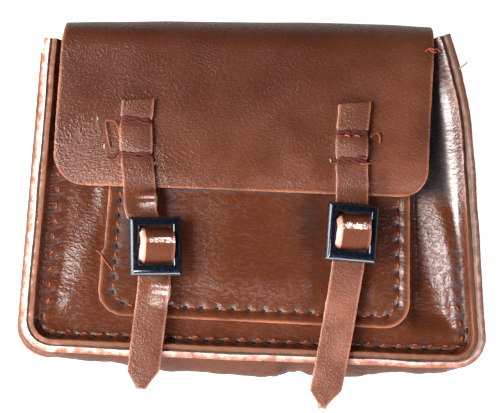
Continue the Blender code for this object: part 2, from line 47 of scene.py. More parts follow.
def addCamera():
    # looks down on the bag's front from a little to the left of it and below it
    left, below, roll = (math.radians(camera[name]) for name in ("left", "below", "roll"))
    toEye = Vector((-math.tan(left), -math.tan(below), 1.0)).normalized()
    right = (-toEye).cross(Vector((0.0, 1.0, 0.0))).normalized()
    up = right.cross(-toEye).normalized()
    turn = Matrix((right, up, toEye)).transposed() @ Matrix.Rotation(roll, 3, "Z")
    data = bpy.data.cameras.new("camera")
    data.sensor_width = camera["sensor"]
    data.lens = camera["sensor"] * camera["distance"] / camera["metresPerPixel"] / camera["photoWidth"]
    data.clip_start = camera["nearest"]
    data.clip_end = camera["farthest"]
    eye = bpy.data.objects.new("camera", data)
    eye.matrix_world = Matrix.Translation(Vector(camera["aim"]) + toEye * camera["distance"]) @ turn.to_4x4()
    bpy.context.collection.objects.link(eye)
    bpy.context.scene.camera = eye


def smooth(value, low, high):
    # 0 at low, 1 at high, with an easy start and end
    share = min(max((value - low) / (high - low), 0.0), 1.0)
    return share * share * (3 - 2 * share)


def through(points, place):
    # a smooth curve through (place, value) pairs, read at one place
    points = sorted(points)
    if place <= points[0][0]:
        return points[0][1]
    if place >= points[-1][0]:
        return points[-1][1]
    slopes = []
    for i in range(len(points)):
        before = points[max(i - 1, 0)]
        after = points[min(i + 1, len(points) - 1)]
        slopes.append((after[1] - before[1]) / (after[0] - before[0]))
    for i in range(len(points) - 1):
        (p0, v0), (p1, v1) = points[i], points[i + 1]
        if p0 <= place <= p1:
            step = p1 - p0
            s = (place - p0) / step
            bow = s * (1 - s) * step * (slopes[i] * (1 - s) - slopes[i + 1] * s)
            return (2 * s - 3) * s * s * (v0 - v1) + v0 + bow


def waves(x, y, size, seed):
    # soft unevenness between about -1 and 1, with humps of the given size
    return noise.noise(Vector((x / size, y / size, seed)))


def hump(distance, width):
    return math.exp(-(distance / width) ** 2)


def selectOnly(*pieces):
    if bpy.context.object and bpy.context.object.mode != "OBJECT":
        bpy.ops.object.mode_set(mode="OBJECT")
    bpy.ops.object.select_all(action="DESELECT")
    for piece in pieces:
        piece.select_set(True)
    bpy.context.view_layer.objects.active = pieces[0]


def applyModifiers(piece):
    selectOnly(piece)
    for modifier in list(piece.modifiers):
        bpy.ops.object.modifier_apply(modifier=modifier.name)


def applyPlace():
    bpy.ops.object.transform_apply(location=True, rotation=True, scale=True)


def roundEdges(piece, width, angle):
    # rounds every edge that turns by more than the angle
    rounding = piece.modifiers.new("rounding", "BEVEL")
    rounding.width = width
    rounding.segments = 2
    rounding.limit_method = "ANGLE"
    rounding.angle_limit = angle
    rounding.use_clamp_overlap = True
    applyModifiers(piece)


def copyOf(pattern):
    # a copy with a mesh of its own
    copy = pattern.copy()
    copy.data = pattern.data.copy()
    bpy.context.collection.objects.link(copy)
    return copy


def joinPieces(name, pieces):
    selectOnly(*pieces)
    bpy.ops.object.join()
    piece = bpy.context.object
    piece.name = name
    bpy.ops.object.shade_smooth()
    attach(piece, "root")
    print(name, "faces", len(piece.data.polygons))


def setInputs(tree, node, inputs):
    # each input is joined to a socket or given a fixed value
    for name, value in inputs.items():
        if isinstance(value, bpy.types.NodeSocket):
            tree.links.new(value, node.inputs[name])
        else:
            node.inputs[name].default_value = value


def newNode(tree, kind, inputs=None, **options):
    node = tree.nodes.new("ShaderNode" + kind)
    for name, value in options.items():
        setattr(node, name, value)
    setInputs(tree, node, inputs or {})
    return node


def calc(tree, operation, *values):
    # chains the values together, from left to right
    result = values[0]
    for value in values[1:]:
        result = newNode(tree, "Math", {0: result, 1: value}, operation=operation).outputs[0]
    return result


def vectorCalc(tree, operation, first, second):
    return newNode(tree, "VectorMath", {0: first, 1: second}, operation=operation).outputs[0]


def fromTo(tree, value, span, newSpan=(0.0, 1.0), **options):
    # spreads a span of values over a new one and stays within it
    spans = {"From Min": span[0], "From Max": span[1], "To Min": newSpan[0], "To Max": newSpan[1]}
    return newNode(tree, "MapRange", {"Value": value, **spans}, **options).outputs["Result"]


def speckle(tree, place, scale, detail, distortion=0.0):
    inputs = {"Vector": place, "Scale": scale, "Detail": detail, "Distortion": distortion}
    return newNode(tree, "TexNoise", inputs).outputs["Fac"]


def mixColour(tree, share, first, second):
    # a colour given as three numbers is opaque
    first, second = ((*colour, 1.0) if isinstance(colour, tuple) else colour for colour in (first, second))
    return newNode(tree, "Mix", {0: share, 6: first, 7: second}, data_type="RGBA").outputs[2]


def marked(tree, name):
    # a mark that the sheets carry at their corners: worn, flesh, pale, polish or coarse
    return newNode(tree, "Attribute", attribute_name=name).outputs["Fac"]


def makeGroup(name, values, outputs):
    # a node group that works on a place, with the values as its further inputs
    group = bpy.data.node_groups.new(name, "ShaderNodeTree")
    group.interface.new_socket("Vector", in_out="INPUT", socket_type="NodeSocketVector")
    for label, value in values.items():
        socket = group.interface.new_socket(label, in_out="INPUT", socket_type="NodeSocketFloat")
        socket.default_value = value
    for label in outputs:
        group.interface.new_socket(label, in_out="OUTPUT", socket_type="NodeSocketFloat")
    return group, group.nodes.new("NodeGroupInput"), group.nodes.new("NodeGroupOutput")


grainPrint = {"wanderScale": 110.0, "wander": 0.004, "ridges": (0.33, 0.64), "beads": (0.32, 0.66),
              "mottleScale": 130.0}
flapGrain = {"Ripple Pitch": 0.00042, "Ripple Length": 0.0007, "Ripple Share": 0.55, "Pebble Size": 0.00033}
bodyGrain = {"Ripple Pitch": 0.00058, "Ripple Length": 0.0013, "Ripple Share": 0.68, "Pebble Size": 0.00033}
strapGrain = {"Ripple Pitch": 0.00045, "Ripple Length": 0.0006, "Ripple Share": 0.40, "Pebble Size": 0.00036}


def makeLeatherGrain():
    # short wavy ripples printed crosswise into the leather, with fine pebbles on them and broad mottling
    group, start, end = makeGroup("leatherGrain", flapGrain, ("Height", "Mottle"))
    place = start.outputs["Vector"]
    drift = newNode(group, "TexNoise", {"Vector": place, "Scale": grainPrint["wanderScale"], "Detail": 0.0})
    centred = vectorCalc(group, "SUBTRACT", drift.outputs["Color"], (0.5, 0.5, 0.5))
    push = newNode(group, "VectorMath", {0: centred, "Scale": grainPrint["wander"]}, operation="SCALE")
    bent = vectorCalc(group, "ADD", place, push.outputs[0])
    along = calc(group, "DIVIDE", 1.0, start.outputs["Ripple Length"])
    across = calc(group, "DIVIDE", 1.0, start.outputs["Ripple Pitch"])
    drawn = newNode(group, "CombineXYZ", {0: along, 1: across, 2: across}).outputs[0]
    ripples = speckle(group, vectorCalc(group, "MULTIPLY", bent, drawn), 1.0, 1.5)
    ridge = fromTo(group, ripples, grainPrint["ridges"], interpolation_type="SMOOTHSTEP")
    pebbles = speckle(group, bent, calc(group, "DIVIDE", 1.0, start.outputs["Pebble Size"]), 2.5)
    bead = fromTo(group, pebbles, grainPrint["beads"], interpolation_type="SMOOTHSTEP")
    height = newNode(group, "Mix", {0: start.outputs["Ripple Share"], 2: bead, 3: ridge}).outputs[0]
    setInputs(group, end, {"Height": height, "Mottle": speckle(group, place, grainPrint["mottleScale"], 4.0)})
    return group


def makeFibres():
    # the loose fibres of a raw edge, a thread or the woven backing, and broader patches of dirt
    group, start, end = makeGroup("rawFibres", {"Fibre Size": 0.00015}, ("Height", "Dirt"))
    place = start.outputs["Vector"]
    frequency = calc(group, "DIVIDE", 1.0, start.outputs["Fibre Size"])
    dirt = speckle(group, place, calc(group, "MULTIPLY", frequency, 0.12), 4.0)
    setInputs(group, end, {"Height": speckle(group, place, frequency, 3.0, 0.6), "Dirt": dirt})
    return group


leatherGrain = makeLeatherGrain()
rawFibres = makeFibres()


def startMaterial(name):
    material = bpy.data.materials.new(name)
    material.use_nodes = True
    tree = material.node_tree
    return material, tree, tree.nodes["Principled BSDF"], newNode(tree, "TexCoord").outputs["Object"]


def fibresOn(tree, place, size):
    return newNode(tree, "Group", {"Vector": place, "Fibre Size": size}, node_tree=rawFibres).outputs


def addBump(tree, shader, height, strength, depth):
    bump = newNode(tree, "Bump", {"Strength": strength, "Distance": depth, "Height": height})
    tree.links.new(bump.outputs["Normal"], shader.inputs["Normal"])


# what creases, painted shade and dirt, rubbing, polish and coarse places do to a leather's roughness and
# relief
handling = {"creaseRough": 0.22, "shadeDirtRough": 0.6, "rubRough": 0.2, "rubLeast": 0.35, "polishRough": 0.6,
            "polishRelief": 0.45, "coarseRelief": 3.4}


def leatherMaterial(name, look):
    material, tree, shader, place = startMaterial(name)
    grain = newNode(tree, "Group", {"Vector": place, **look["grain"]}, node_tree=leatherGrain).outputs
    height, mottle = grain["Height"], grain["Mottle"]
    skin = mixColour(tree, fromTo(tree, mottle, (0.35, 0.65)), look["colour"], look["light"])
    creased = mixColour(tree, fromTo(tree, height, (0.0, 0.8), (look["creaseDark"], 0.0)), skin, look["dark"])
    worn = marked(tree, "worn")   # rubbed above 0, painted shade and dirt below
    patchy = fromTo(tree, mottle, (0.35, 0.6), (handling["rubLeast"], 1.0))
    rubbed = calc(tree, "MULTIPLY", calc(tree, "MAXIMUM", worn, 0.0), patchy)
    shadeAndDirtShare = calc(tree, "MAXIMUM", calc(tree, "MULTIPLY", worn, -1.0), 0.0)
    faded = mixColour(tree, rubbed, creased, look["worn"])
    rough = calc(tree, "ADD", fromTo(tree, mottle, (0.3, 0.7), look["roughness"]),
                 fromTo(tree, height, (0.0, 0.7), (handling["creaseRough"], 0.0)),
                 calc(tree, "MULTIPLY", shadeAndDirtShare, handling["shadeDirtRough"]),
                 calc(tree, "MULTIPLY", rubbed, handling["rubRough"]))
    polish, coarse = marked(tree, "polish"), marked(tree, "coarse")
    rough = calc(tree, "MULTIPLY", rough, fromTo(tree, polish, (0.0, 1.0), (1.0, handling["polishRough"])))
    relief = calc(tree, "MULTIPLY", height, fromTo(tree, polish, (0.0, 1.0), (1.0, handling["polishRelief"])),
                  fromTo(tree, coarse, (0.0, 1.0), (1.0, handling["coarseRelief"])))
    setInputs(tree, shader, {"Base Color": mixColour(tree, shadeAndDirtShare, faded, look["shadeDirtColour"]), "Roughness": rough,
                             "Specular IOR Level": look["specular"]})
    addBump(tree, shader, relief, 1.0, look["depth"])
    return material


def edgeMaterial(name, look):
    # a cut edge: tan where the finish has soaked in from the grain side, then pink, and white by the backing
    material, tree, shader, place = startMaterial(name)
    fibres = fibresOn(tree, place, look["fibre"])
    ragged = look["ragged"]
    depth = calc(tree, "ADD", marked(tree, "flesh"),
                 fromTo(tree, fibres["Height"], (0.3, 0.7), (-ragged, ragged)),
                 fromTo(tree, fibres["Dirt"], (0.3, 0.7), (ragged, -ragged)))
    pale = marked(tree, "pale")
    pinkShare = calc(tree, "MULTIPLY", pale, fromTo(tree, depth, look["toPink"]))
    whiteShare = calc(tree, "MULTIPLY", pale, fromTo(tree, depth, look["toWhite"]))
    pink = mixColour(tree, pinkShare, look["colour"], look["light"])
    colour = mixColour(tree, whiteShare, pink, look["white"])
    setInputs(tree, shader, {"Base Color": colour, "Roughness": 0.85})
    addBump(tree, shader, fibres["Height"], 0.7, 0.00012)
    return material


def fibreMaterial(name, look):
    # fibre of two tones: the woven backing or a thread
    material, tree, shader, place = startMaterial(name)
    fibres = fibresOn(tree, place, look["fibre"])
    share = fromTo(tree, fibres[look["pattern"]], (0.35, 0.65))
    colour = mixColour(tree, share, *look["tones"])
    setInputs(tree, shader, {"Base Color": colour, "Roughness": look["roughness"],
                             "Specular IOR Level": look["specular"]})
    addBump(tree, shader, fibres["Height"], look["bump"], look["depth"])
    return material


def enamelMaterial(name, look):
    # black enamel on a cast buckle, a little uneven
    material, tree, shader, place = startMaterial(name)
    cast = speckle(tree, place, look["unevenScale"], 2.0)
    dust = speckle(tree, place, look["dustScale"], 4.0)
    colour = mixColour(tree, fromTo(tree, dust, (0.45, 0.75)), look["colour"], look["dusty"])
    roughness = fromTo(tree, dust, (0.4, 0.75), look["roughness"])
    setInputs(tree, shader, {"Base Color": colour, "Roughness": roughness, "Specular IOR Level": 0.4,
                             "Coat Weight": look["coat"], "Coat Roughness": 0.05})
    addBump(tree, shader, cast, 0.25, 0.0002)
    return material


flapLook = {"colour": (0.056, 0.0150, 0.0066), "light": (0.066, 0.0185, 0.0086),
            "dark": (0.024, 0.0060, 0.0030), "worn": (0.31, 0.098, 0.042), "shadeDirtColour": (0.006, 0.0025, 0.0025),
            "creaseDark": 0.35, "grain": flapGrain, "roughness": (0.22, 0.28), "specular": 0.45,
            "depth": 0.00005}
bodyLook = dict(flapLook, colour=(0.060, 0.0145, 0.0050), light=(0.072, 0.0180, 0.0062),
                worn=(0.30, 0.100, 0.045), creaseDark=0.22, grain=bodyGrain, depth=0.00004)
gussetLook = dict(bodyLook, colour=(0.074, 0.0190, 0.0068), light=(0.088, 0.0235, 0.0086), specular=0.22,
                  roughness=(0.30, 0.36))
strapLook = dict(flapLook, colour=(0.068, 0.0192, 0.0082), light=(0.082, 0.0240, 0.0110),
                 worn=(0.26, 0.090, 0.050), grain=strapGrain, depth=0.00006)
loopLook = dict(strapLook, colour=(0.066, 0.0165, 0.0066), light=(0.078, 0.0205, 0.0085), specular=0.10,
                roughness=(0.55, 0.65))
flapLeather = leatherMaterial("flapLeather", flapLook)
bodyLeather = leatherMaterial("bodyLeather", bodyLook)
gussetLeather = leatherMaterial("gussetLeather", gussetLook)
strapLeather = leatherMaterial("strapLeather", strapLook)
loopLeather = leatherMaterial("loopLeather", loopLook)

# toPink, toWhite: how far down from the grain side, as a share of the leather, each colour takes over
edgeLook = {"colour": (0.105, 0.033, 0.013), "light": (0.34, 0.130, 0.070), "white": (0.62, 0.53, 0.47),
            "fibre": 0.00016, "ragged": 0.30, "toPink": (0.10, 0.80), "toWhite": (0.90, 1.20)}
outerEdgeLook = dict(edgeLook, colour=(0.17, 0.054, 0.026), light=(0.46, 0.230, 0.170),
                     white=(0.74, 0.65, 0.60), ragged=0.48, toPink=(-0.15, 0.60), toWhite=(0.50, 1.10))
strapEdgeLook = dict(edgeLook, colour=(0.36, 0.120, 0.055), light=(0.48, 0.22, 0.155),
                     white=(0.66, 0.56, 0.50), toPink=(0.0, 0.45), toWhite=(0.60, 0.95))
# the loop's crest: pale as a painted highlight, with cracks that show the fibres
crestSheenLook = dict(strapEdgeLook, colour=(0.115, 0.034, 0.014), light=(0.42, 0.25, 0.19),
                 white=(0.88, 0.82, 0.76), fibre=0.00034, ragged=0.75, toPink=(0.05, 0.50),
                 toWhite=(0.50, 0.95))
cutEdge = edgeMaterial("cutEdge", edgeLook)
outerEdge = edgeMaterial("outerEdge", outerEdgeLook)
strapEdge = edgeMaterial("strapEdge", strapEdgeLook)
crestSheenAndCracks = edgeMaterial("crestSheenAndCracks", crestSheenLook)

# the backing is painted darker than its own pale fibres: painted shade for the seam's crack, where it shows
shadePaintedBackingLook = {"tones": ((0.16, 0.098, 0.068), (0.08, 0.042, 0.027)), "pattern": "Dirt", "fibre": 0.0002,
               "roughness": 0.95, "specular": 0.5, "bump": 0.5, "depth": 0.0001}
threadLook = {"pattern": "Height", "fibre": 0.00012, "roughness": 0.7, "specular": 0.2, "bump": 0.8,
              "depth": 0.00006}
threadTones = {"seam": ((0.005, 0.002, 0.002), (0.020, 0.006, 0.004)),   # between the strands, and on them
               "hand": ((0.025, 0.005, 0.004), (0.105, 0.019, 0.009)),
               "olive": ((0.16, 0.13, 0.05), (0.34, 0.30, 0.14)),
               "orange": ((0.11, 0.022, 0.010), (0.34, 0.085, 0.034)),
               "pale": ((0.22, 0.13, 0.08), (0.42, 0.32, 0.25))}
shadePaintedBacking = fibreMaterial("shadePaintedBacking", shadePaintedBackingLook)
threads = {}
for name, tones in threadTones.items():
    threads[name] = fibreMaterial(name + "Thread", dict(threadLook, tones=tones))

enamelLook = {"colour": (0.0020, 0.0032, 0.0065), "dusty": (0.005, 0.008, 0.014), "unevenScale": 420.0,
              "dustScale": 1500.0, "roughness": (0.12, 0.24), "coat": 0.4}
buckleEnamel = enamelMaterial("buckleEnamel", enamelLook)
innerLook = dict(enamelLook, dusty=(0.005, 0.006, 0.008), roughness=(0.6, 0.8), coat=0.0)
innerEnamel = enamelMaterial("innerEnamel", innerLook)
print("finishes made")

sheets = {"spacing": 0.00046, "edgeRounding": 0.00010, "roundedFrom": math.radians(62)}


def gridSheet(name, columns, rows, place):
    # a grid with every corner moved to where the leather lies; place also says how worn it is there, and
    # below 0 how much painted shade and dirt darken it
    bpy.ops.object.select_all(action="DESELECT")
    bpy.ops.mesh.primitive_grid_add(x_subdivisions=columns, y_subdivisions=rows, size=2.0)
    sheet = bpy.context.object
    sheet.name = name
    worn = sheet.data.attributes.new("worn", "FLOAT", "POINT")
    wear = []
    for vertex in sheet.data.vertices:
        i = round((vertex.co.x + 1) / 2 * columns)
        j = round((1 - vertex.co.y) / 2 * rows)
        vertex.co, share = place(i, j)
        wear.append(share)
    worn.data.foreach_set("value", wear)
    return sheet


def faceOutwards(sheet, towards=lambda centre: outOfFront):
    # the grain side is the one that looks along towards at most of the sheet
    facing = sum(face.normal.dot(Vector(towards(face.center))) for face in sheet.data.polygons)
    if facing < 0:
        selectOnly(sheet)
        bpy.ops.object.mode_set(mode="EDIT")
        bpy.ops.mesh.select_all(action="SELECT")
        bpy.ops.mesh.flip_normals()
        bpy.ops.object.mode_set(mode="OBJECT")


def markPlaces(piece, name, share):
    mark = piece.data.attributes.new(name, "FLOAT", "POINT")
    mark.data.foreach_set("value", [share(vertex.co) for vertex in piece.data.vertices])


def finishLeather(sheet, thickness, skin, edge, nodeName, inwards=0.0, paleness=lambda place: 1.0):
    # gives a sheet its thickness, more of it on the flesh side by inwards, its backing and its raw edge
    mesh = sheet.data
    mesh.materials.clear()
    for material in (skin, shadePaintedBacking, edge):
        mesh.materials.append(material)
    grainCount = len(mesh.vertices)
    wall = sheet.modifiers.new("thickness", "SOLIDIFY")
    wall.thickness = thickness + inwards
    wall.offset = thickness / (thickness + inwards) - 1
    wall.material_offset = 1
    wall.material_offset_rim = 2
    applyModifiers(sheet)
    flesh = mesh.attributes.new("flesh", "FLOAT", "POINT")
    flesh.data.foreach_set("value", [0.0 if i < grainCount else 1.0 for i in range(len(mesh.vertices))])
    markPlaces(sheet, "pale", paleness)
    roundEdges(sheet, sheets["edgeRounding"], sheets["roundedFrom"])
    selectOnly(sheet)
    bpy.ops.object.shade_smooth()
    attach(sheet, "root")
    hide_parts(nodeName)
    print(sheet.name, "faces", len(mesh.polygons))


body = {"leather": 0.0010, "layer": 0.0013, "height": 0.0584, "depth": 0.0185, "bottom": -0.0285,
        "widthTop": 0.0750, "widthBottom": 0.0828, "corner": 0.0030, "keystone": 0.04,
        "tuckRight": 0.0030, "tuckShare": 0.30, "tuckPower": 1.6,   # the right side draws in towards its top
        "flange": 0.0022, "bend": 0.0009, "lean": math.radians(30), "leanWander": math.radians(5),
        "rampReach": 0.0026, "rampEase": 0.0023, "rampLift": 0.0006,
        # the ramp fades away from the seam's right end: how much of it goes, from and to
        "rampFades": ((0.65, 0.026, 0.044), (0.35, 0.050, 0.062)),
        "rampLeft": 0.32, "rampLeftFade": (0.050, 0.058),
        "rearMargin": 0.0031, "rearInset": 0.0003, "stitchPitch": 0.0030}
bodyBottom = body["bottom"]
bodyTop = bodyBottom + body["height"]
panelZ = body["depth"] - body["leather"] / 2
bendTurn = math.pi / 2 - body["lean"]
bendReach = body["bend"] * math.sin(bendTurn)
seamZ = panelZ + body["bend"] * (1 - math.cos(bendTurn))


def halfWidth(y):
    share = (y - bodyBottom) / body["height"]
    return body["widthBottom"] / 2 + (body["widthTop"] - body["widthBottom"]) / 2 * share


def tuck(y, side):
    start = bodyTop - body["tuckShare"] * body["height"]
    amount = body["tuckRight"] if side > 0 else 0.0
    return amount * max((y - start) / (bodyTop - start), 0.0) ** body["tuckPower"]


def keystone(x, y):
    return y * (1 + body["keystone"] * 2 * x / body["widthBottom"])


def sideOutline(side, sideCount, cornerCount):
    # points down one side and round its bottom corner: place, outward direction
    points = []
    start = bodyBottom + body["corner"]
    step = body["height"] / 1000
    for i in range(sideCount + cornerCount + 1):
        turn = math.pi / 2 * max(i - sideCount, 0) / cornerCount
        y = bodyTop + (start - bodyTop) * min(i, sideCount) / sideCount - body["corner"] * math.sin(turn)
        level = max(y, start)
        reach = halfWidth(level) - tuck(level, side) - body["corner"] * (1 - math.cos(turn))
        slope = halfWidth(level - step) - tuck(level - step, side) - halfWidth(level) + tuck(level, side)
        normal = Vector((math.cos(turn), -math.sin(turn))) if turn else Vector((step, slope)).normalized()
        place = Vector((side * reach, keystone(side * reach, y)))
        points.append((place, Vector((side * normal.x, normal.y))))
    return points


def seamOutline(spacing):
    # points down the left side, along the bottom and up the right: place, outward direction, length so far
    sideCount = round((body["height"] - body["corner"]) / spacing)
    cornerCount = round(body["corner"] * math.pi / 2 / spacing)
    left = sideOutline(-1, sideCount, cornerCount)
    right = sideOutline(1, sideCount, cornerCount)
    reach = right[-1][0].x
    bottomCount = round(2 * reach / spacing)
    bottom = []
    for i in range(1, bottomCount):
        x = reach * (2 * i / bottomCount - 1)
        bottom.append((Vector((x, keystone(x, bodyBottom))), Vector((0.0, -1.0))))
    points, length, last = [], 0.0, None
    for place, normal in left + bottom + right[::-1]:
        length += (place - last).length if last else 0.0
        last = place
        points.append((place, normal, length))
    return points, sideCount + cornerCount, bottomCount


seamPoints, sideSteps, bottomSteps = seamOutline(sheets["spacing"])
seamLength = seamPoints[-1][2]
stitchCount = round(seamLength / body["stitchPitch"])
stitchPitch = seamLength / stitchCount


def puckerAt(length):
    # 1 midway between two stitches, 0 at a stitch
    return 0.5 - 0.5 * math.cos(2 * math.pi * length / stitchPitch)


def leanAt(length):
    return body["lean"] + body["leanWander"] * waves(length, 0.0, 0.013, 3.1)


def rampShare(length):
    # on the right the panel climbs to its cut edge in a broad ramp: 1 there, less on the left, 0 below
    fromRight = seamLength - length
    right = 1 - sum(lost * smooth(fromRight, start, end) for lost, start, end in body["rampFades"])
    return max(right, body["rampLeft"] * (1 - smooth(length, *body["rampLeftFade"])))


def bendStart(length):
    # how far out from the seam line the panel starts to turn up
    return -bendReach - body["rampReach"] * rampShare(length)


def offSeam(point, out, z):
    place, normal, _ = point
    return Vector((place.x + normal.x * out, place.y + normal.y * out, z))


# how pale each cut edge is at x, how far the seam's gap closes, and how the gusset's right edge darkens
seamEdges = {"panelPale": ((-0.0400, 0.48), (-0.0370, 0.42), (-0.0335, 0.14), (0.0300, 0.10), (0.0390, 0.10)),
             "gussetPale": ((-0.0400, 0.95), (-0.0350, 0.75), (-0.0150, 0.48),
                            (0.0300, 0.36), (0.0390, 0.30)),
             "closed": 0.00027, "dull": 0.85, "dullUp": (0.008, 0.020)}

frontPanel = {"swell": 0.0004, "swellPower": 1.5, "hollow": 0.0002,
              "pocketHalf": 0.0295, "pocketEdge": 0.0285,
              # the panel sinks beyond a slanting line: its two ends, how deep, how wide the slope is
              "slopes": (((-0.0273, 0.0023), (-0.0386, -0.0234), 0.00075, 0.0024),
                         ((0.0316, 0.0006), (0.0392, -0.0242), 0.0020, 0.0036)),
              "scoop": 0.0035, "scoopRows": 22, "scoopSquareness": 8, "dents": 0.00022,
              "bendRows": 6, "flangeRows": 5, "wander": 0.00014, "ragged": 0.00013, "edgeWear": 0.6,
              "stitchDepth": 0.00022, "stitchUp": 0.0007, "stitchReach": 0.0005,
              "pucker": 0.00036, "puckerReach": 0.0011, "puckerWear": 0.5,
              "holeWidth": (0.10, 0.45), "holeReach": 0.00045,
              # painted shade: the flap's shadow on the fold, the tight bend at the right and the ramp's top
              "flapShadowDark": 0.95, "foldUp": (-0.0020, 0.0024), "foldAcross": (0.0285, 0.0310),
              "bendShade": 0.43, "bendDown": (0.004, 0.012), "bendAcross": (0.0002, 0.0009),
              "topShade": 0.40, "top": (0.0190, 0.0245),
              # the ramp's shine: where it starts and ends across the ramp, and up it
              "shineStart": (0.0012, 0.0018), "shineEnd": (0.0028, 0.0048), "shineUp": (-0.010, -0.002),
              "coarseLeft": 0.45, "coarseRight": 0.25}


def flangeSection(length):
    # the seam's section from the panel up to its cut edge: how far out, and how high
    lean = leanAt(length)
    radius, bendRows, flangeRows = body["bend"], frontPanel["bendRows"], frontPanel["flangeRows"]
    section = []
    for i in range(1, bendRows + 1):
        turn = (math.pi / 2 - lean) * i / bendRows
        section.append((radius * math.sin(turn) - bendReach, panelZ + radius * (1 - math.cos(turn))))
    out, z = section[-1]
    tall = body["flange"] + frontPanel["wander"] * waves(length, 0.0, 0.006, 7.7)
    tall += frontPanel["ragged"] * waves(length, 0.0, 0.0007, 9.4)
    for i in range(1, flangeRows + 1):
        along = tall * i / flangeRows
        pulled = (1 - puckerAt(length)) * hump(along - frontPanel["stitchUp"], frontPanel["stitchReach"])
        dip = frontPanel["stitchDepth"] * pulled
        section.append((out + along * math.sin(lean) + dip * math.cos(lean),
                        z + along * math.cos(lean) - dip * math.sin(lean)))
    start, end = (bendStart(length), panelZ), section[-1]
    ease = (start[0] + body["rampEase"], panelZ + body["rampLift"])
    share = rampShare(length)
    blended = []
    for i, tight in enumerate(section, 1):
        t = i / len(section)
        broad = [(1 - t) ** 2 * start[k] + 2 * t * (1 - t) * ease[k] + t * t * end[k] for k in (0, 1)]
        blended.append(tuple(tight[k] + (broad[k] - tight[k]) * share for k in (0, 1)))
    return blended


def holeShadeAndDirt(length, inside):
    # painted shade and dirt in the needle holes along the seam
    hole = 1 - smooth(puckerAt(length), *frontPanel["holeWidth"])
    hole *= hump(inside - 0.0002, frontPanel["holeReach"])
    return hole * (1 - rampShare(length)) ** 2


def foldShade(place):
    # painted shadow of the flap's right edge on the fold between it and the ramp
    up, across = smooth(place.y, *frontPanel["foldUp"]), smooth(place.x, *frontPanel["foldAcross"])
    return frontPanel["flapShadowDark"] * up * across


def bendShade(place, fromRight):
    # painted shade in the tight bend at the right, below the ramp
    near = (1 - smooth(fromRight, *frontPanel["bendAcross"])) * (place.x > 0)
    return frontPanel["bendShade"] * smooth(-place.y, *frontPanel["bendDown"]) * near


def besidePocket(place, half, fromSide):
    # the panel swells at the pocket's left and is hollow at its right, and beyond a slanting line it has sunk
    margin = half - frontPanel["pocketHalf"]
    beside = min(fromSide / margin, 1.0)
    if place.x < 0:
        swell = frontPanel["swell"] * math.sin(math.pi * beside ** frontPanel["swellPower"])
    else:
        swell = -frontPanel["hollow"] * math.sin(math.pi * beside)
    (x0, y0), (x1, y1), depth, width = frontPanel["slopes"][0 if place.x < 0 else 1]
    aside = ((place.x - x0) * (y0 - y1) + (place.y - y0) * (x1 - x0)) / math.hypot(x1 - x0, y1 - y0)
    edge = frontPanel["pocketEdge"]
    sunk = (1 - smooth(aside, -width, width)) * smooth(fromSide, 0.0, 0.0025)
    sunk *= smooth(abs(place.x), edge, edge + 0.003)
    sunk *= smooth(place.y, bodyBottom + 0.002, bodyBottom + 0.007)
    return swell * smooth(place.y, bodyBottom, bodyBottom + margin) - depth * sunk


def panelPlace(i, j):
    if j == sideSteps:
        point = seamPoints[sideSteps + i]
        return offSeam(point, bendStart(point[2]), panelZ), -holeShadeAndDirt(point[2], 0.0)
    left, right = seamPoints[j], seamPoints[-1 - j]
    start, end = offSeam(left, bendStart(left[2]), panelZ), offSeam(right, bendStart(right[2]), panelZ)
    if i == 0:
        return start, 0.0
    # the panel's right end carries the flap's painted shadow
    if i == bottomSteps:
        return end, -foldShade(end)
    share = i / bottomSteps
    place = start.lerp(end, share)
    half = (end.x - start.x) / 2
    fromLeft, fromRight = share * 2 * half, (1 - share) * 2 * half
    fromSide = min(fromLeft, fromRight)
    fromTop, fromBottom = j * sheets["spacing"], (sideSteps - j) * sheets["spacing"]
    place.z += besidePocket(place, half, fromSide)
    lengths = (left[2], right[2], seamPoints[sideSteps + i][2])
    inside, length = min(zip((fromLeft, fromRight, fromBottom), lengths))   # the nearest stretch of seam
    push = puckerAt(length) * hump(inside - 0.0005, frontPanel["puckerReach"]) * smooth(inside, 0.0, 0.0006)
    push *= 1 - rampShare(length)
    offPocket = max(abs(place.x) - frontPanel["pocketEdge"], bodyBottom + 0.0045 - place.y)
    ripple = frontPanel["dents"] * waves(place.x, place.y * 1.6, 0.0065, 1.3) * smooth(offPocket, 0.0, 0.002)
    place.z += frontPanel["pucker"] * push + ripple * smooth(inside, 0.0, 0.003)
    scoop = frontPanel["scoop"] * smooth(frontPanel["scoopRows"] - j, 0, frontPanel["scoopRows"])
    place.y -= scoop * (1 - abs(2 * share - 1) ** frontPanel["scoopSquareness"])
    rubbed = frontPanel["puckerWear"] * push * max(waves(length, inside * 3, 0.0016, 12.0) + 0.25, 0.0)
    # painted shade: the needle holes (with dirt), the flap's shadow on the fold and the tight bend at the
    # right
    dirt = holeShadeAndDirt(length, inside) + foldShade(place) + bendShade(place, fromRight)
    return place, max(1 - smooth(fromTop, 0.0, 0.0006), rubbed) - dirt


def panelShine(place):
    # where the broad ramp at the right shines
    inside = halfWidth(place.y) - tuck(place.y, 1) + 0.0011 - place.x
    across = smooth(inside, *frontPanel["shineStart"]) * (1 - smooth(inside, *frontPanel["shineEnd"]))
    return across * smooth(place.y, *frontPanel["shineUp"]) * (1 - smooth(place.y, *frontPanel["top"]))


def panelCoarseness(place):
    left = smooth(-place.x, 0.027, 0.031) * smooth(place.y, -0.025, -0.018)
    right = smooth(place.x, 0.029, 0.033) * (1 - panelShine(place))
    return frontPanel["coarseLeft"] * left + frontPanel["coarseRight"] * right


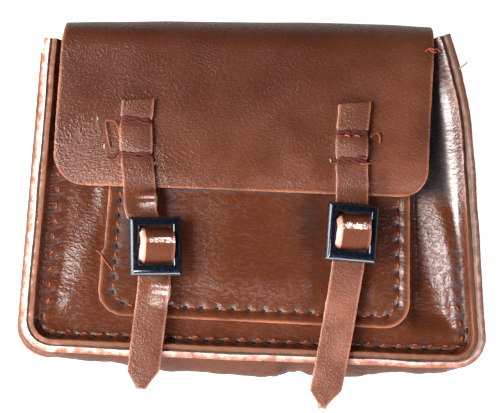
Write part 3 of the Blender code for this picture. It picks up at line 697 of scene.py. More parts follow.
def makeFrontPanel():
    panel = gridSheet("frontPanel", bottomSteps, sideSteps, panelPlace)
    sections = [flangeSection(point[2]) for point in seamPoints]
    rows = len(sections[0])

    def stripPlace(i, j):
        point = seamPoints[j]
        corner, _, length = point
        # the seam line takes the holes' painted shade and the flap's painted shadow
        if i == 0:
            return offSeam(point, bendStart(length), panelZ), -holeShadeAndDirt(length, 0.0) - foldShade(corner)
        out, z = sections[j][i - 1]
        # painted shade on the ramp: the flap's shadow at its foot and a darker top; painted shade in the
        # tight bend and the needle holes
        rampShade = foldShade(corner) * (1 - smooth(i, 2, 5))
        rampShade += frontPanel["topShade"] * smooth(corner.y, *frontPanel["top"])
        bendShadeHere = bendShade(corner, 0.0) * (1 - smooth(i, 2, 7))
        dirt = holeShadeAndDirt(length, 0.00018 * i) + bendShadeHere + rampShade * rampShare(length)
        return offSeam(point, out, z), smooth(i, rows - 2, rows) * frontPanel["edgeWear"] - dirt

    strip = gridSheet("flange", rows, len(seamPoints) - 1, stripPlace)
    selectOnly(panel, strip)
    bpy.ops.object.join()
    bpy.ops.object.mode_set(mode="EDIT")
    bpy.ops.mesh.select_all(action="SELECT")
    bpy.ops.mesh.remove_doubles(threshold=0.000002)
    bpy.ops.mesh.normals_make_consistent(inside=False)
    bpy.ops.object.mode_set(mode="OBJECT")
    faceOutwards(panel)
    finishLeather(panel, body["leather"], bodyLeather, cutEdge, "front_panel",
                  paleness=lambda place: through(seamEdges["panelPale"], place.x))
    markPlaces(panel, "polish", panelShine)
    markPlaces(panel, "coarse", panelCoarseness)


makeFrontPanel()

gusset = {"sideBulge": 0.0018, "bottomBulge": 0.0044, "fullness": 0.7,
          "mouthBulge": 0.3, "mouthLength": 0.015,
          # dents in the swollen bottom, as shares of its width: place, depth, reach
          "dents": ((0.16, 0.16, 0.05), (0.41, 0.07, 0.04), (0.63, 0.14, 0.05), (0.86, 0.18, 0.06)),
          "creases": 0.00030, "gathers": (0.0068, 0.0052, 2.0), "nip": 0.0003, "splay": 0.00035,
          "rearRows": 4, "rearStep": 0.0006, "bendRows": 4, "wallRows": 22, "edgeRows": 5,
          "rearRagged": 0.00012, "wander": 0.00016, "ragged": 0.00013, "edgeWear": 0.6, "underShade": 0.12}


def bulgeAt(index):
    last = len(seamPoints) - 1
    side, bottom, mouth = gusset["sideBulge"], gusset["bottomBulge"], gusset["mouthBulge"]
    length = seamPoints[index][2]
    if index < sideSteps or index > last - sideSteps:
        fromMouth = min(length, seamLength - length)
        return side * (mouth + (1 - mouth) * smooth(fromMouth, 0.0, gusset["mouthLength"]))
    share = (index - sideSteps) / bottomSteps
    swell = math.sin(math.pi * share) ** gusset["fullness"] if 0 < share < 1 else 0.0
    dented = sum(depth * hump(share - place, width) for place, depth, width in gusset["dents"])
    return side + (bottom - side) * swell - bottom * dented


def gussetSection(index):
    # from the raw rear margin round the rear bend, up the wall and up the flange: how far out, and how high
    corner, _, length = seamPoints[index]
    lean, radius = leanAt(length), body["bend"]
    up = Vector((math.sin(lean), math.cos(lean)))
    away = Vector((math.cos(lean), -math.sin(lean)))
    turnAll = math.pi / 2 - lean
    bendTop = Vector((radius * math.sin(turnAll) - bendReach, panelZ + radius * (1 - math.cos(turnAll))))
    seamPlace = bendTop + away * body["layer"]
    rearZ = body["leather"] / 2 + body["layer"]
    margin, step = body["rearMargin"], gusset["rearStep"]
    section = [Vector((margin - step * k, rearZ)) for k in range(gusset["rearRows"])]
    section[0].x += gusset["rearRagged"] * waves(length, 0.0, 0.0008, 21.0)
    for i in range(gusset["bendRows"] + 1):
        turn = math.pi / 2 * i / gusset["bendRows"]
        out, high = body["rearInset"] + radius * (1 - math.sin(turn)), rearZ + radius * (1 - math.cos(turn))
        section.append(Vector((out, high)))
    foot, bulge = section[-1], bulgeAt(index)
    middle, reach, extra = gusset["gathers"]
    gathered = 1 + extra * hump(corner.x - middle, reach) * (sideSteps < index < sideSteps + bottomSteps)
    for i in range(1, gusset["wallRows"]):
        share = i / gusset["wallRows"]
        place = foot.lerp(seamPlace, share)
        rise = math.sin(math.pi * share)
        crease = waves(length, share * 0.006, 0.0034, 5.5) + 0.6 * waves(length, share * 0.004, 0.0014, 6.5)
        nipped = hump(1 - share, 0.10) * (puckerAt(length) - 0.5)
        folds = gusset["creases"] * gathered * crease * math.sqrt(rise)
        place.x += bulge * rise + folds + gusset["nip"] * nipped
        section.append(place)
    tall = body["flange"] + body["layer"] * math.tan(lean)
    tall += gusset["wander"] * waves(length, 0.0, 0.007, 17.0)
    tall += gusset["ragged"] * waves(length, 0.0, 0.0007, 19.0)
    splay = gusset["splay"] * max(waves(length, 0.0, 0.011, 23.0), 0.0)
    for i in range(gusset["edgeRows"] + 1):
        share = i / gusset["edgeRows"]
        section.append(seamPlace + up * (tall * share) + away * (splay * share ** 2))
    return section


def gussetPaleness(place):
    dull = seamEdges["dull"] * (place.x > 0) * smooth(place.y, *seamEdges["dullUp"])
    return through(seamEdges["gussetPale"], place.x) * (1 - dull)


def makeGusset():
    sections = [gussetSection(index) for index in range(len(seamPoints))]
    last = len(sections[0]) - 1
    wallStart = gusset["rearRows"] + gusset["bendRows"]

    def place(i, j):
        out, z = sections[j][i]
        under = sideSteps < j < sideSteps + bottomSteps and wallStart < i < last - gusset["edgeRows"]
        wear = gusset["edgeWear"] * smooth(i, last - 1, last) + smooth(1 - i, 0, 1)
        # painted shade on the underside of the swollen bottom wall
        wear -= gusset["underShade"] * under
        return offSeam(seamPoints[j], out, z), wear

    def towards(centre):
        # the middle of the wall alone says which way the strip faces
        return (centre.x, centre.y, 0.0) if abs(centre.z - body["depth"] / 2) < 0.005 else (0.0, 0.0, 0.0)

    piece = gridSheet("sideGusset", last, len(seamPoints) - 1, place)
    faceOutwards(piece, towards)
    finishLeather(piece, body["leather"], gussetLeather, outerEdge, "gusset",
                  seamEdges["closed"], gussetPaleness)


makeGusset()

flap = {"width": 0.0712, "reach": 0.0294, "shiftFold": 0.0012, "shiftLip": 0.0029, "lift": 0.0030,
        "overhang": 0.0033, "rearRadius": 0.0030, "frontRadius": 0.0062, "shoulder": 0.0022,
        "foldTuck": 0.0010, "crown": 0.0010, "slant": 0.0010, "lipSlant": 0.0007,
        "cornerLeft": 0.0060, "cornerRight": 0.0053, "droop": 0.0007, "droopSquareness": 4,
        # the lower left corner hangs lower: how much, and the stretch across and up over which it starts
        "cornerDroop": 0.0009, "cornerAcross": (0.016, 0.036), "cornerUp": 0.017,
        "lipCurl": 0.00055, "lipCurlReach": 0.0042, "dents": 0.00030, "foldDents": 0.00035, "ragged": 0.00009,
        "lipLight": 0.15, "lipLightReach": 0.022, "rightLight": 0.12, "coarseAcross": (0.008, 0.033),
        "spacing": 0.00062, "columns": 126, "packing": 0.6}
flapZ = body["depth"] + flap["lift"] + body["leather"] / 2
foldY = bodyTop + flap["overhang"]
lipY = bodyTop - flap["reach"]
backStart = bodyBottom - body["rearMargin"]
# lengths along the leather, from the back's bottom edge to the flap's lip
patternArc = foldY - flap["rearRadius"] - backStart
patternWall = patternArc + flap["rearRadius"] * math.pi / 2
patternFront = patternWall + flapZ - flap["frontRadius"] - body["leather"] / 2 - flap["rearRadius"]
patternFlap = patternFront + flap["frontRadius"] * math.pi / 2
patternLip = patternFlap + foldY - flap["frontRadius"] - lipY
patternRidge = (patternWall + patternFront) / 2
patternShoulder = body["height"] + body["rearMargin"]


def foldProfile(length):
    # up the back, round the fold and down the front: y, z
    rear, front, backZ = flap["rearRadius"], flap["frontRadius"], body["leather"] / 2
    if length <= patternArc:
        return backStart + length, backZ
    if length <= patternWall:
        turn = (length - patternArc) / rear
        return foldY - rear * (1 - math.sin(turn)), backZ + rear * (1 - math.cos(turn))
    if length <= patternFront:
        return foldY, backZ + rear + length - patternWall
    if length <= patternFlap:
        turn = (length - patternFront) / front
        return foldY - front * (1 - math.cos(turn)), flapZ - front * (1 - math.sin(turn))
    return foldY - front - (length - patternFlap), flapZ


def cornerInset(distance, radius):
    return 0.0 if distance >= radius else radius - math.sqrt(max(radius ** 2 - (radius - distance) ** 2, 0.0))


def patternSides(length):
    # the left and right edge of the leather at a length along it
    corner = body["corner"] + body["rearMargin"]
    y = min(max(backStart + length, bodyBottom + body["corner"]), bodyTop)
    backHalf = halfWidth(y) + body["rearMargin"] - cornerInset(length, corner)
    neck = smooth(length, patternShoulder, patternShoulder + flap["shoulder"])
    shift = flap["shiftFold"]
    shift += (flap["shiftLip"] - flap["shiftFold"]) * smooth(length, patternRidge, patternLip)
    atFold = 1 - smooth(length, patternFront, patternFlap)
    left = -backHalf * (1 - neck) + (flap["foldTuck"] * atFold - shift - flap["width"] / 2) * neck
    right = (backHalf - tuck(y, 1)) * (1 - neck) + (flap["width"] / 2 - shift) * neck
    fromLip, ragged = patternLip - length, flap["ragged"]
    left += cornerInset(fromLip, flap["cornerLeft"]) + ragged * waves(length, 0.0, 0.0016, 31.0)
    right -= cornerInset(fromLip, flap["cornerRight"]) + ragged * waves(length, 0.0, 0.0016, 33.0)
    return left, right


def flapRelief(x, y):
    # how far the flap's middle layer stands off its flat level at a place on the front
    side = (x + 0.5 * (flap["shiftFold"] + flap["shiftLip"])) / (flap["width"] / 2)
    relief = -flap["droop"] * abs(side) ** flap["droopSquareness"]
    relief -= flap["lipCurl"] * (1 - smooth(y, lipY, lipY + flap["lipCurlReach"])) ** 2
    nearLip = 1 - smooth(y, lipY, lipY + flap["cornerUp"])
    relief -= flap["cornerDroop"] * smooth(-x, *flap["cornerAcross"]) * nearLip
    relief += flap["dents"] * (waves(x, y, 0.017, 41.0) + 0.35 * waves(x, y, 0.007, 43.0))
    return relief


def flapCoarseness(place):
    nearLip = 1 - smooth(place.y, lipY, lipY + flap["cornerUp"])
    return smooth(-place.x, *flap["coarseAcross"]) * nearLip * (place.z > flapZ - 0.003)


def makeBackAndFlap():
    rows, columns = round(patternLip / flap["spacing"]), flap["columns"]
    # even rows, and closer ones at both ends so that the rounded corners stay smooth
    lengths = []
    for j in range(rows + 1):
        share = j / rows
        crowded = math.sin(2 * math.pi * share) / (2 * math.pi) * hump(min(share, 1 - share), 0.12)
        lengths.append(patternLip * (share - flap["packing"] * crowded))
    sides = [patternSides(length) for length in lengths]

    def place(i, j):
        length = lengths[j]
        left, right = sides[j]
        y, z = foldProfile(length)
        x = left + (right - left) * i / columns
        side = (2 * x - left - right) / flap["width"]
        onFlap = smooth(length, patternRidge, patternFlap)
        ridge = smooth(length, patternArc, patternRidge) * (1 - onFlap)
        slanted = smooth(length, patternFront, patternLip)
        offBack = smooth(length, patternShoulder, patternShoulder + flap["shoulder"])
        y += ridge * (flap["slant"] * side - flap["crown"] * side ** 2) - slanted * flap["lipSlant"] * side
        y += (keystone(x, y) - y) * (1 - offBack)
        if j == rows:
            y += flap["ragged"] * waves(x, 0.0, 0.0018, 35.0)
        z += onFlap * flapRelief(x, y)
        y += ridge * flap["foldDents"] * waves(x, z, 0.011, 37.0)
        fromEdge = min(x - left, right - x, patternLip - length, length)
        # painted light: the flap is made lighter towards its lip and towards its right side
        rubbed = flap["lipLight"] * smooth(length, patternLip - flap["lipLightReach"], patternLip)
        rubbed += flap["rightLight"] * smooth(x, 0.010, 0.032)
        return Vector((x, y, z)), max(1 - smooth(fromEdge, 0.0, 0.0007), onFlap * rubbed)

    def towards(centre):
        # forward on the flap, backward on the back and upward on the fold
        if centre.z > 0.02:
            return outOfFront
        return -outOfFront if centre.z < 0.001 else (0.0, 1.0, 0.0)

    piece = gridSheet("backAndFlap", columns, rows, place)
    faceOutwards(piece, towards)
    finishLeather(piece, body["leather"], flapLeather, cutEdge, "back_and_flap")
    markPlaces(piece, "coarse", flapCoarseness)


makeBackAndFlap()

pocket = {"width": 0.0590, "height": 0.0385, "rise": 0.0043, "slant": 0.0010, "taper": 0.0026,
          "corner": 0.0050, "border": 0.0026, "slope": 0.0060, "crown": 0.0013,
          # at x, share of the crown
          "profile": ((-0.0275, 0.3), (-0.0225, -0.15), (-0.0150, 0.5), (-0.0060, 1.0), (0.0075, 0.95),
                      (0.0140, -0.05), (0.0200, 0.0), (0.0235, 0.5), (0.0262, 0.5), (0.0280, 0.2)),
          "inset": 0.0022, "stitchPitch": 0.0030, "dimple": 0.00038, "dimpleReach": 0.00075, "dents": 0.00018,
          "groove": 0.00022, "grooveReach": 0.0007, "pucker": 0.00014, "puckerReach": 0.0011,
          "calmLeft": 0.35, "step": 0.00045, "stepY": -0.0116, "lipShade": 0.45, "ragged": 0.00008,
          "seamZone": 0.0045, "holeReach": 0.00048, "holeReachLeft": 0.00024, "lobeWear": 0.45,
          # painted shade in patches beside the straps: x, y, reach across, reach along, how dark
          "patches": ((-0.0252, -0.0058, 0.0016, 0.0070, 0.50), (0.0097, -0.0048, 0.0023, 0.0044, 0.50)),
          "spacing": 0.00038, "cornerRows": 18}
pocketBottom = bodyBottom + pocket["rise"]
pocketTop = pocketBottom + pocket["height"]
pocketZ = panelZ + body["layer"]


def pocketInside(x, y):
    # how far in from the pocket's cut edge a point of its unslanted shape lies
    half, corner = pocket["width"] / 2, pocket["corner"]
    inside = min(half - abs(x), y - pocketBottom)
    if half - abs(x) < corner and y - pocketBottom < corner:
        inside = corner - math.hypot(abs(x) - (half - corner), y - (pocketBottom + corner))
    return inside


def pocketSlanted(x, y):
    down = (pocketTop - y) / pocket["height"]
    share = x / (pocket["width"] / 2)
    return x + pocket["taper"] * (1 - down) * (1 - share) / 2, y - pocket["slant"] * share * down


def pocketStitchLine():
    # the row of stitches, from the left end of the mouth round to the right one: place, direction
    half, radius = pocket["width"] / 2 - pocket["inset"], pocket["corner"] - pocket["inset"]
    low = pocketBottom + pocket["inset"]
    straight = pocketTop - (low + radius)
    bend = radius * math.pi / 2
    total = 2 * (straight + bend + half - radius)
    count = round(total / pocket["stitchPitch"])
    line = []
    for i in range(count):
        run = total * (i + 0.5) / count
        mirrored = run > total / 2
        s = total - run if mirrored else run
        if s < straight:
            x, y, angle = -half, pocketTop - s, -math.pi / 2
        elif s < straight + bend:
            turn = (s - straight) / radius
            x, y = -half + radius * (1 - math.cos(turn)), low + radius * (1 - math.sin(turn))
            angle = turn - math.pi / 2
        else:
            x, y, angle = -half + radius + (s - straight - bend), low, 0.0
        line.append((-x, y, -angle) if mirrored else (x, y, angle))
    return line


pocketStitches = pocketStitchLine()


def fromStitch(x, y):
    # the squared distance to the nearest stitch of the pocket
    return min((x - sx) ** 2 + (y - sy) ** 2 for sx, sy, _ in pocketStitches)


def around(squared, reach):
    # 1 at a stitch, fading with the squared distance from it
    return math.exp(-squared / reach ** 2)


def pocketRelief(x, y):
    # how far the pocket's middle layer stands off its flat border
    inside = pocketInside(x, y)
    nearest = fromStitch(x, y) if inside < pocket["seamZone"] else 1.0
    raised = smooth(inside, pocket["border"], pocket["border"] + pocket["slope"])
    lift = pocket["crown"] * through(pocket["profile"], x) * raised
    lift += pocket["dents"] * waves(x, y, 0.012, 51.0) * smooth(inside, 0.004, 0.010)
    lift -= pocket["dimple"] * (1 - 0.4 * smooth(-x, 0.020, 0.025)) * around(nearest, pocket["dimpleReach"])
    calm = pocket["calmLeft"] + (1 - pocket["calmLeft"]) * smooth(x, -0.026, -0.012)
    lift -= pocket["groove"] * calm * hump(inside - pocket["inset"] + 0.0002, pocket["grooveReach"])
    if inside < pocket["seamZone"]:
        between = 1 - around(nearest, pocket["puckerReach"])
        lift += pocket["pucker"] * calm * between * hump(inside - 0.0008, 0.0012)
    return lift


def pocketWearAndShade(x, y):
    # the rubbed cut edge and lobes between the stitches, less painted shade in the holes (with dirt), beside
    # the straps and under the flap's lip
    inside = pocketInside(x, y)
    wear = 1 - smooth(inside, 0.0, 0.0006)
    if 0.0008 < inside < pocket["seamZone"]:
        nearest = fromStitch(x, y)
        hole = around(nearest, pocket["holeReach"] + pocket["holeReachLeft"] * smooth(-x, 0.018, 0.026))
        lobe = (1 - around(nearest, 0.0009)) * hump(inside - pocket["inset"] - 0.0003, 0.0005)
        patchy = max(waves(x, y, 0.0012, 59.0) + 0.25, 0.0)
        wear += pocket["lobeWear"] * lobe * patchy * smooth(x, -0.026, -0.018) - hole
    shade = pocket["lipShade"] * smooth(y, lipY - 0.0011, lipY + 0.0001)
    for px, py, wide, tall, dark in pocket["patches"]:
        shade += dark * hump(x - px, wide) * hump(y - py, tall)
    return wear - shade


def makeFrontPocket():
    half, corner, cornerRows = pocket["width"] / 2, pocket["corner"], pocket["cornerRows"]
    sideRows = round((pocket["height"] - corner) / pocket["spacing"])
    columns = round(pocket["width"] / pocket["spacing"])
    rows = []
    for i in range(sideRows + cornerRows + 1):
        turn = math.pi / 2 * max(i - sideRows, 0) / cornerRows
        down = (pocketTop - pocketBottom - corner) * min(i, sideRows) / sideRows + corner * math.sin(turn)
        rows.append((pocketTop - down, half - corner * (1 - math.cos(turn))))

    def place(i, j):
        y, reach = rows[j]
        x = reach * (2 * i / columns - 1)
        sx, sy = pocketSlanted(x, y)
        wobble = pocket["ragged"] * waves(x, y, 0.0012, 57.0) * (pocketInside(x, y) < 0.0004)
        below = 1 - smooth(y, pocket["stepY"] - 0.0004, pocket["stepY"] + 0.0004)
        sx -= pocket["step"] * below * smooth(-x, 0.0235, half)   # the left edge stands out below its step
        return Vector((sx + wobble, sy + wobble, pocketZ + pocketRelief(x, y))), pocketWearAndShade(x, y)

    piece = gridSheet("frontPocket", columns, len(rows) - 1, place)
    faceOutwards(piece)
    finishLeather(piece, body["leather"], bodyLeather, cutEdge, "front_pocket")


makeFrontPocket()

buckle = {"rim": 0.0016, "bottomExtra": 0.0003, "thickness": 0.0020, "bevel": 0.0008, "rounding": 0.00016,
          "roundedFrom": math.radians(40), "barRadius": 0.0005, "barSides": 20, "smoothTo": math.radians(15)}
buckleTab = {"width": 0.0050, "length": 0.0060, "layer": 0.0009, "leather": 0.0008, "spacing": 0.0003,
             "columns": 10, "foot": 0.0004, "wrapStart": -0.35, "wrapEnd": 1.45, "wrapSteps": 40,
             "ragged": 0.00008}
strapShape = {"width": 0.0060, "layer": 0.0013, "puff": 0.0006, "point": 0.0033, "windowWidth": 0.0066,
              "crown": 0.00012, "dents": 0.00012, "ragged": 0.00007, "spacing": 0.00032, "columns": 24,
              "pinch": 0.00045, "rowDepth": 0.00030, "rowReach": 0.0007, "bedding": 0.00012,
              "barLift": 0.0005, "underBar": 0.0008, "overBar": 0.0025, "archPlay": 0.0005,
              "archSpread": 0.00018, "archCut": 0.00035, "archRidge": 0.00014, "archSteps": (8, 14),
              "crestShift": 0.0008, "crestReach": 0.0006, "crestSheen": 0.35, "crestFlesh": 0.50,
              "cutReach": 0.0009, "cutFlesh": 0.75, "twistRib": 0.00008, "twistPitch": 0.0014,
              # from the arch down over the seam's edge: past the tab, over the edge, sagging beyond it
              "pastTab": 0.0013, "overEdge": 0.0008, "edgeHop": 0.0006, "sagBelow": 0.0003, "sagTip": 0.0009,
              "flapSteps": 60, "dropSteps": 24, "tailSteps": 80}
seat = 0.0003   # the room between one layer and the next
buckleZ = pocketZ + pocket["crown"] + body["leather"] / 2 + buckleTab["layer"] + body["leather"] + 3 * seat
barZ = buckleZ + strapShape["barLift"]
archSpan = strapShape["underBar"] + strapShape["overBar"] + strapShape["archPlay"]
windowHeight = 2 * math.sqrt(archSpan ** 2 - strapShape["barLift"] ** 2)
buckleHeight = windowHeight + 2 * buckle["rim"]
flangeTop = seamZ + body["flange"] * math.cos(body["lean"]) + body["leather"] * math.sin(body["lean"]) / 2
strapOnFlapZ = flapZ + strapShape["layer"]
strapUnderBarZ = buckleZ - strapShape["underBar"]

# end, rows: how far above the lip the strap's end and its two rows of hand stitches are
# drop: how far below the lip the buckle is; tail: how far the strap hangs below the bag; tip: its end's width
# sway: to the side, in strap widths; twists: where the right edge stands up: y, how much, reach along
straps = {
    "Left": {"x": -0.0194, "end": 0.0166, "rows": (0.0126, 0.0062), "drop": 0.0110, "lean": math.radians(1.5),
             "tail": 0.0085, "tip": 0.25, "wear": 0.04, "tailLight": 0.06, "seed": 61.0, "tabSeed": 81.0,
             "twists": ((-0.0020, 0.0008, 0.0014), (-0.0190, 0.0009, 0.0019)),
             "sway": {"end": -0.58, "rows": -0.64, "lip": -0.50, "above": -0.38, "buckle": 0.0, "hem": -0.20,
                      "tip": -0.36}},
    "Right": {"x": 0.0177, "end": 0.0169, "rows": (0.0112, 0.0060), "drop": 0.0078,
              "lean": math.radians(-4.0), "tail": 0.0118, "tip": 0.06, "wear": 0.12, "tailLight": 0.40,
              "seed": 71.0, "tabSeed": 87.0, "twists": (),
              "sway": {"end": 0.11, "rows": 0.0, "lip": 0.04, "above": 0.03, "buckle": 0.0, "hem": -0.47,
                       "tip": -0.84}},
}


def arc(centre, radius, start, end, steps):
    angles = [start + (end - start) * i / steps for i in range(steps + 1)]
    return [(centre[0] + radius * math.cos(angle), centre[1] + radius * math.sin(angle)) for angle in angles]


def buckleArch(centreY):
    # under the buckle's top side, over its bar, and under its bottom side
    edge = windowHeight / 2
    under, over = strapShape["underBar"], strapShape["overBar"]
    climb = math.pi - math.asin((under + over) / archSpan) - math.atan2(strapShape["barLift"], edge)
    quarter = math.pi / 2
    riseSteps, topSteps = strapShape["archSteps"]
    rise = arc((edge, buckleZ), under, -quarter, climb - 3 * quarter, riseSteps)
    top = arc((0.0, barZ), over, climb - quarter, quarter, topSteps)
    down = [(-y, z) for y, z in (rise + top)[::-1]]
    return [(centreY + y, z) for y, z in rise + top + down[1:]]


def strapPlaces(strap):
    centre = lipY - strap["drop"]
    upper, lower = strap["rows"]
    return {"end": lipY + strap["end"], "upper": lipY + upper, "lower": lipY + lower, "lip": lipY,
            "above": centre + buckleHeight / 2, "buckle": centre, "hem": bodyBottom,
            "tip": bodyBottom - strap["tail"]}


def strapMiddle(strap, y):
    places, sway = strapPlaces(strap), strap["sway"]
    slip = math.tan(strap["lean"]) * windowHeight / 2 / strapShape["width"]
    points = [(places[name], sway[name]) for name in ("end", "lip", "above", "hem", "tip")]
    points.append(((places["upper"] + places["lower"]) / 2, sway["rows"]))
    points.append((places["buckle"] + windowHeight / 2, sway["buckle"] - slip))
    points.append((places["buckle"] - windowHeight / 2, sway["buckle"] + slip))
    return strap["x"] + strapShape["width"] * through(points, y)


def evenSteps(line, spacing):
    # the same line in even steps, with its corners eased
    lengths = [0.0]
    for (y0, z0), (y1, z1) in zip(line, line[1:]):
        lengths.append(lengths[-1] + math.hypot(y1 - y0, z1 - z0))
    count = round(lengths[-1] / spacing)
    even, k = [], 0
    for i in range(count + 1):
        length = lengths[-1] * i / count
        while k < len(line) - 2 and lengths[k + 1] < length:
            k += 1
        (y0, z0), (y1, z1) = line[k], line[k + 1]
        share = (length - lengths[k]) / max(lengths[k + 1] - lengths[k], 1e-9)
        even.append((y0 + (y1 - y0) * share, z0 + (z1 - z0) * share))
    for _ in range(2):
        eased = [((a[0] + 2 * b[0] + c[0]) / 4, (a[1] + 2 * b[1] + c[1]) / 4)
                 for a, b, c in zip(even, even[1:], even[2:])]
        even = [even[0]] + eased + [even[-1]]
    return even


def strapLine(strap):
    # the strap's middle line, from its sewn end to its tip: (y, z)
    places = strapPlaces(strap)
    arch = buckleArch(places["buckle"])
    flapSteps, dropSteps, tailSteps = (strapShape[name] for name in ("flapSteps", "dropSteps", "tailSteps"))
    line = []
    for i in range(flapSteps):
        y = places["end"] + (places["lip"] - places["end"]) * i / flapSteps
        line.append((y, strapOnFlapZ + flapRelief(strapMiddle(strap, y), y) - strapShape["bedding"]))
    lastZ = line[-1][1]
    for i in range(dropSteps):
        y = places["lip"] + (arch[0][0] - places["lip"]) * i / dropSteps
        line.append((y, strapUnderBarZ + (lastZ - strapUnderBarZ) * smooth(y, arch[0][0], places["lip"])))
    line += arch
    overFlange = flangeTop + strapShape["overEdge"]
    pastTab = places["buckle"] - buckleTab["length"] - strapShape["pastTab"]
    pocketEdge = min(pocketBottom + pocket["border"], pastTab - strapShape["pastTab"])
    heights = [(pastTab, strapUnderBarZ), (pocketEdge, overFlange + strapShape["edgeHop"]),
               (places["hem"], overFlange),
               (bodyBottom - gusset["bottomBulge"], overFlange - strapShape["sagBelow"]),
               (places["tip"], overFlange - strapShape["sagTip"])]
    for i in range(1, tailSteps + 1):
        y = arch[-1][0] + (places["tip"] - arch[-1][0]) * i / tailSteps
        line.append((y, through(heights, y)))
    return evenSteps(line, strapShape["spacing"])


def rowShare(strap, y):
    # how close a place lies to either row of hand stitches, and how far it lies between them
    places = strapPlaces(strap)
    near = max(hump(y - places[row], strapShape["rowReach"]) for row in ("upper", "lower"))
    between = 0.0
    if places["lower"] < y < places["upper"]:
        between = math.sin(math.pi * (y - places["lower"]) / (places["upper"] - places["lower"]))
    return near, between


def strapRise(share, near, between):
    # its crown, sunk at the stitches and puffed up between them; share runs from -1 at the left edge to 1
    puff = strapShape["puff"] * between * (1 - 0.45 * share ** 2)
    return strapShape["crown"] * (1 - share ** 2) - strapShape["rowDepth"] * near + puff


def onArch(strap, y, z):
    # 1 where the strap is drawn up through its buckle, 0 elsewhere
    offBar = abs(y - lipY + strap["drop"])
    inWindow = 1 - smooth(offBar, windowHeight / 2 - 0.0008, windowHeight / 2)
    return inWindow * smooth(z, strapUnderBarZ + 0.0004, buckleZ + 0.0006)


def finishArch(piece, strap):
    # the arch's left edge shows its cut face, its crest is painted pale as a painted highlight with cracks
    # down to the fibres, and the rest is dull
    flesh = piece.data.attributes["flesh"].data
    piece.data.materials.append(loopLeather)
    piece.data.materials.append(crestSheenAndCracks)
    edgeSlot, loopSlot, crestSlot = 2, 3, 4
    crestY = lipY - strap["drop"] + strapShape["crestShift"]
    for face in piece.data.polygons:
        centre = face.center
        arched = onArch(strap, centre.y, centre.z)
        if face.material_index != 0 or arched <= 0.3:
            continue
        leftEdge = strapMiddle(strap, centre.y) - strapShape["width"] / 2 - strapShape["archSpread"] * arched
        inside = centre.x - leftEdge
        offCrest = abs(centre.y - crestY)
        if inside < strapShape["cutReach"]:
            face.material_index = edgeSlot
            depth = strapShape["cutFlesh"] * (1 - smooth(inside, 0.0003, 0.0008))
        else:
            face.material_index = crestSlot if offCrest < strapShape["crestReach"] else loopSlot
            depth = strapShape["crestFlesh"] * hump(offCrest, strapShape["crestReach"])
        for k in face.vertices:
            flesh[k].value = max(flesh[k].value, depth)
    if strap["twists"]:
        def ribbed(place):
            return max(hump(place.y - y, 1.2 * reach) for y, _, reach in strap["twists"])

        markPlaces(piece, "polish", ribbed)


def makeStrap(side, strap):
    line, places, seed = strapLine(strap), strapPlaces(strap), strap["seed"]
    columns, spacing = strapShape["columns"], strapShape["spacing"]

    def twisted(y, share):
        # the right edge stands up and the strap is finely ribbed there
        lift = 0.0
        for middle, amount, reach in strap["twists"]:
            risen = 1 - smooth(abs(y - middle), 0.5 * reach, 1.6 * reach)
            rib = strapShape["twistRib"] * math.sin(2 * math.pi * y / strapShape["twistPitch"])
            lift += (amount * max(share + 0.35, 0.0) ** 1.5 + rib * smooth(share, -0.6, 0.3)) * risen
        return lift

    def place(i, j):
        y, z = line[j]
        before, after = line[max(j - 1, 0)], line[min(j + 1, len(line) - 1)]
        along = Vector((0.0, after[0] - before[0], after[1] - before[1])).normalized()
        normal = Vector((1.0, 0.0, 0.0)).cross(-along)
        near, between = rowShare(strap, y) if z > strapOnFlapZ - 0.002 and y > lipY else (0.0, 0.0)
        share = 2 * i / columns - 1
        arched = onArch(strap, y, z)
        crest = arched * hump(y - places["buckle"] - strapShape["crestShift"], strapShape["crestReach"])
        taper = min((y - places["tip"]) / strapShape["point"], 1.0)
        half = strapShape["width"] / 2 * (strap["tip"] + (1 - strap["tip"]) * taper)
        half -= strapShape["pinch"] / 2 * near
        half += strapShape["ragged"] * waves(j * spacing, share, 0.0016, seed)
        lift = strapRise(share, near, between) + twisted(y, share)
        lift += strapShape["dents"] * waves(share * half, j * spacing, 0.0045, seed + 3)
        half += strapShape["archSpread"] * arched
        lift += crest * strapShape["archRidge"] * (1 + 1.6 * waves(share * half, y * 0.5, 0.0008, seed + 7))
        lift -= strapShape["archCut"] * arched * smooth(-share, 0.66, 1.0)
        wear = 1 - smooth(half * (1 - abs(share)), 0.0, 0.0005)
        # a painted highlight: the crest is made paler
        wear += strapShape["crestSheen"] * crest * (share > -0.6)
        # the strap's own wear, and painted light that makes its tail lighter
        wear += strap["wear"] + strap["tailLight"] * smooth(-y, 0.014, 0.024)
        skew = 0.0003 * share if j == 0 else 0.0   # the sewn end is cut a little aslant
        return Vector((strapMiddle(strap, y) + half * share, y + skew, z)) + normal * lift, wear

    piece = gridSheet("strap" + side, columns, len(line) - 1, place)
    faceOutwards(piece)
    finishLeather(piece, body["leather"], strapLeather, strapEdge, "strap_" + side.lower())
    finishArch(piece, strap)


for side, strap in straps.items():
    makeStrap(side, strap)


def placeOnStrap(piece, strap):
    piece.location = (strap["x"], lipY - strap["drop"], 0.0)
    piece.rotation_euler = (0.0, 0.0, strap["lean"])
    selectOnly(piece)
    applyPlace()


def editEdges(piece, wanted):
    # goes into edit mode with only the edges whose two ends pass the test selected
    bpy.context.tool_settings.mesh_select_mode = (False, True, False)
    mesh = piece.data
    for part in (*mesh.vertices, *mesh.edges, *mesh.polygons):
        part.select = False
    for edge in mesh.edges:
        edge.select = all(wanted(mesh.vertices[k].co) for k in edge.vertices)
    bpy.ops.object.mode_set(mode="EDIT")


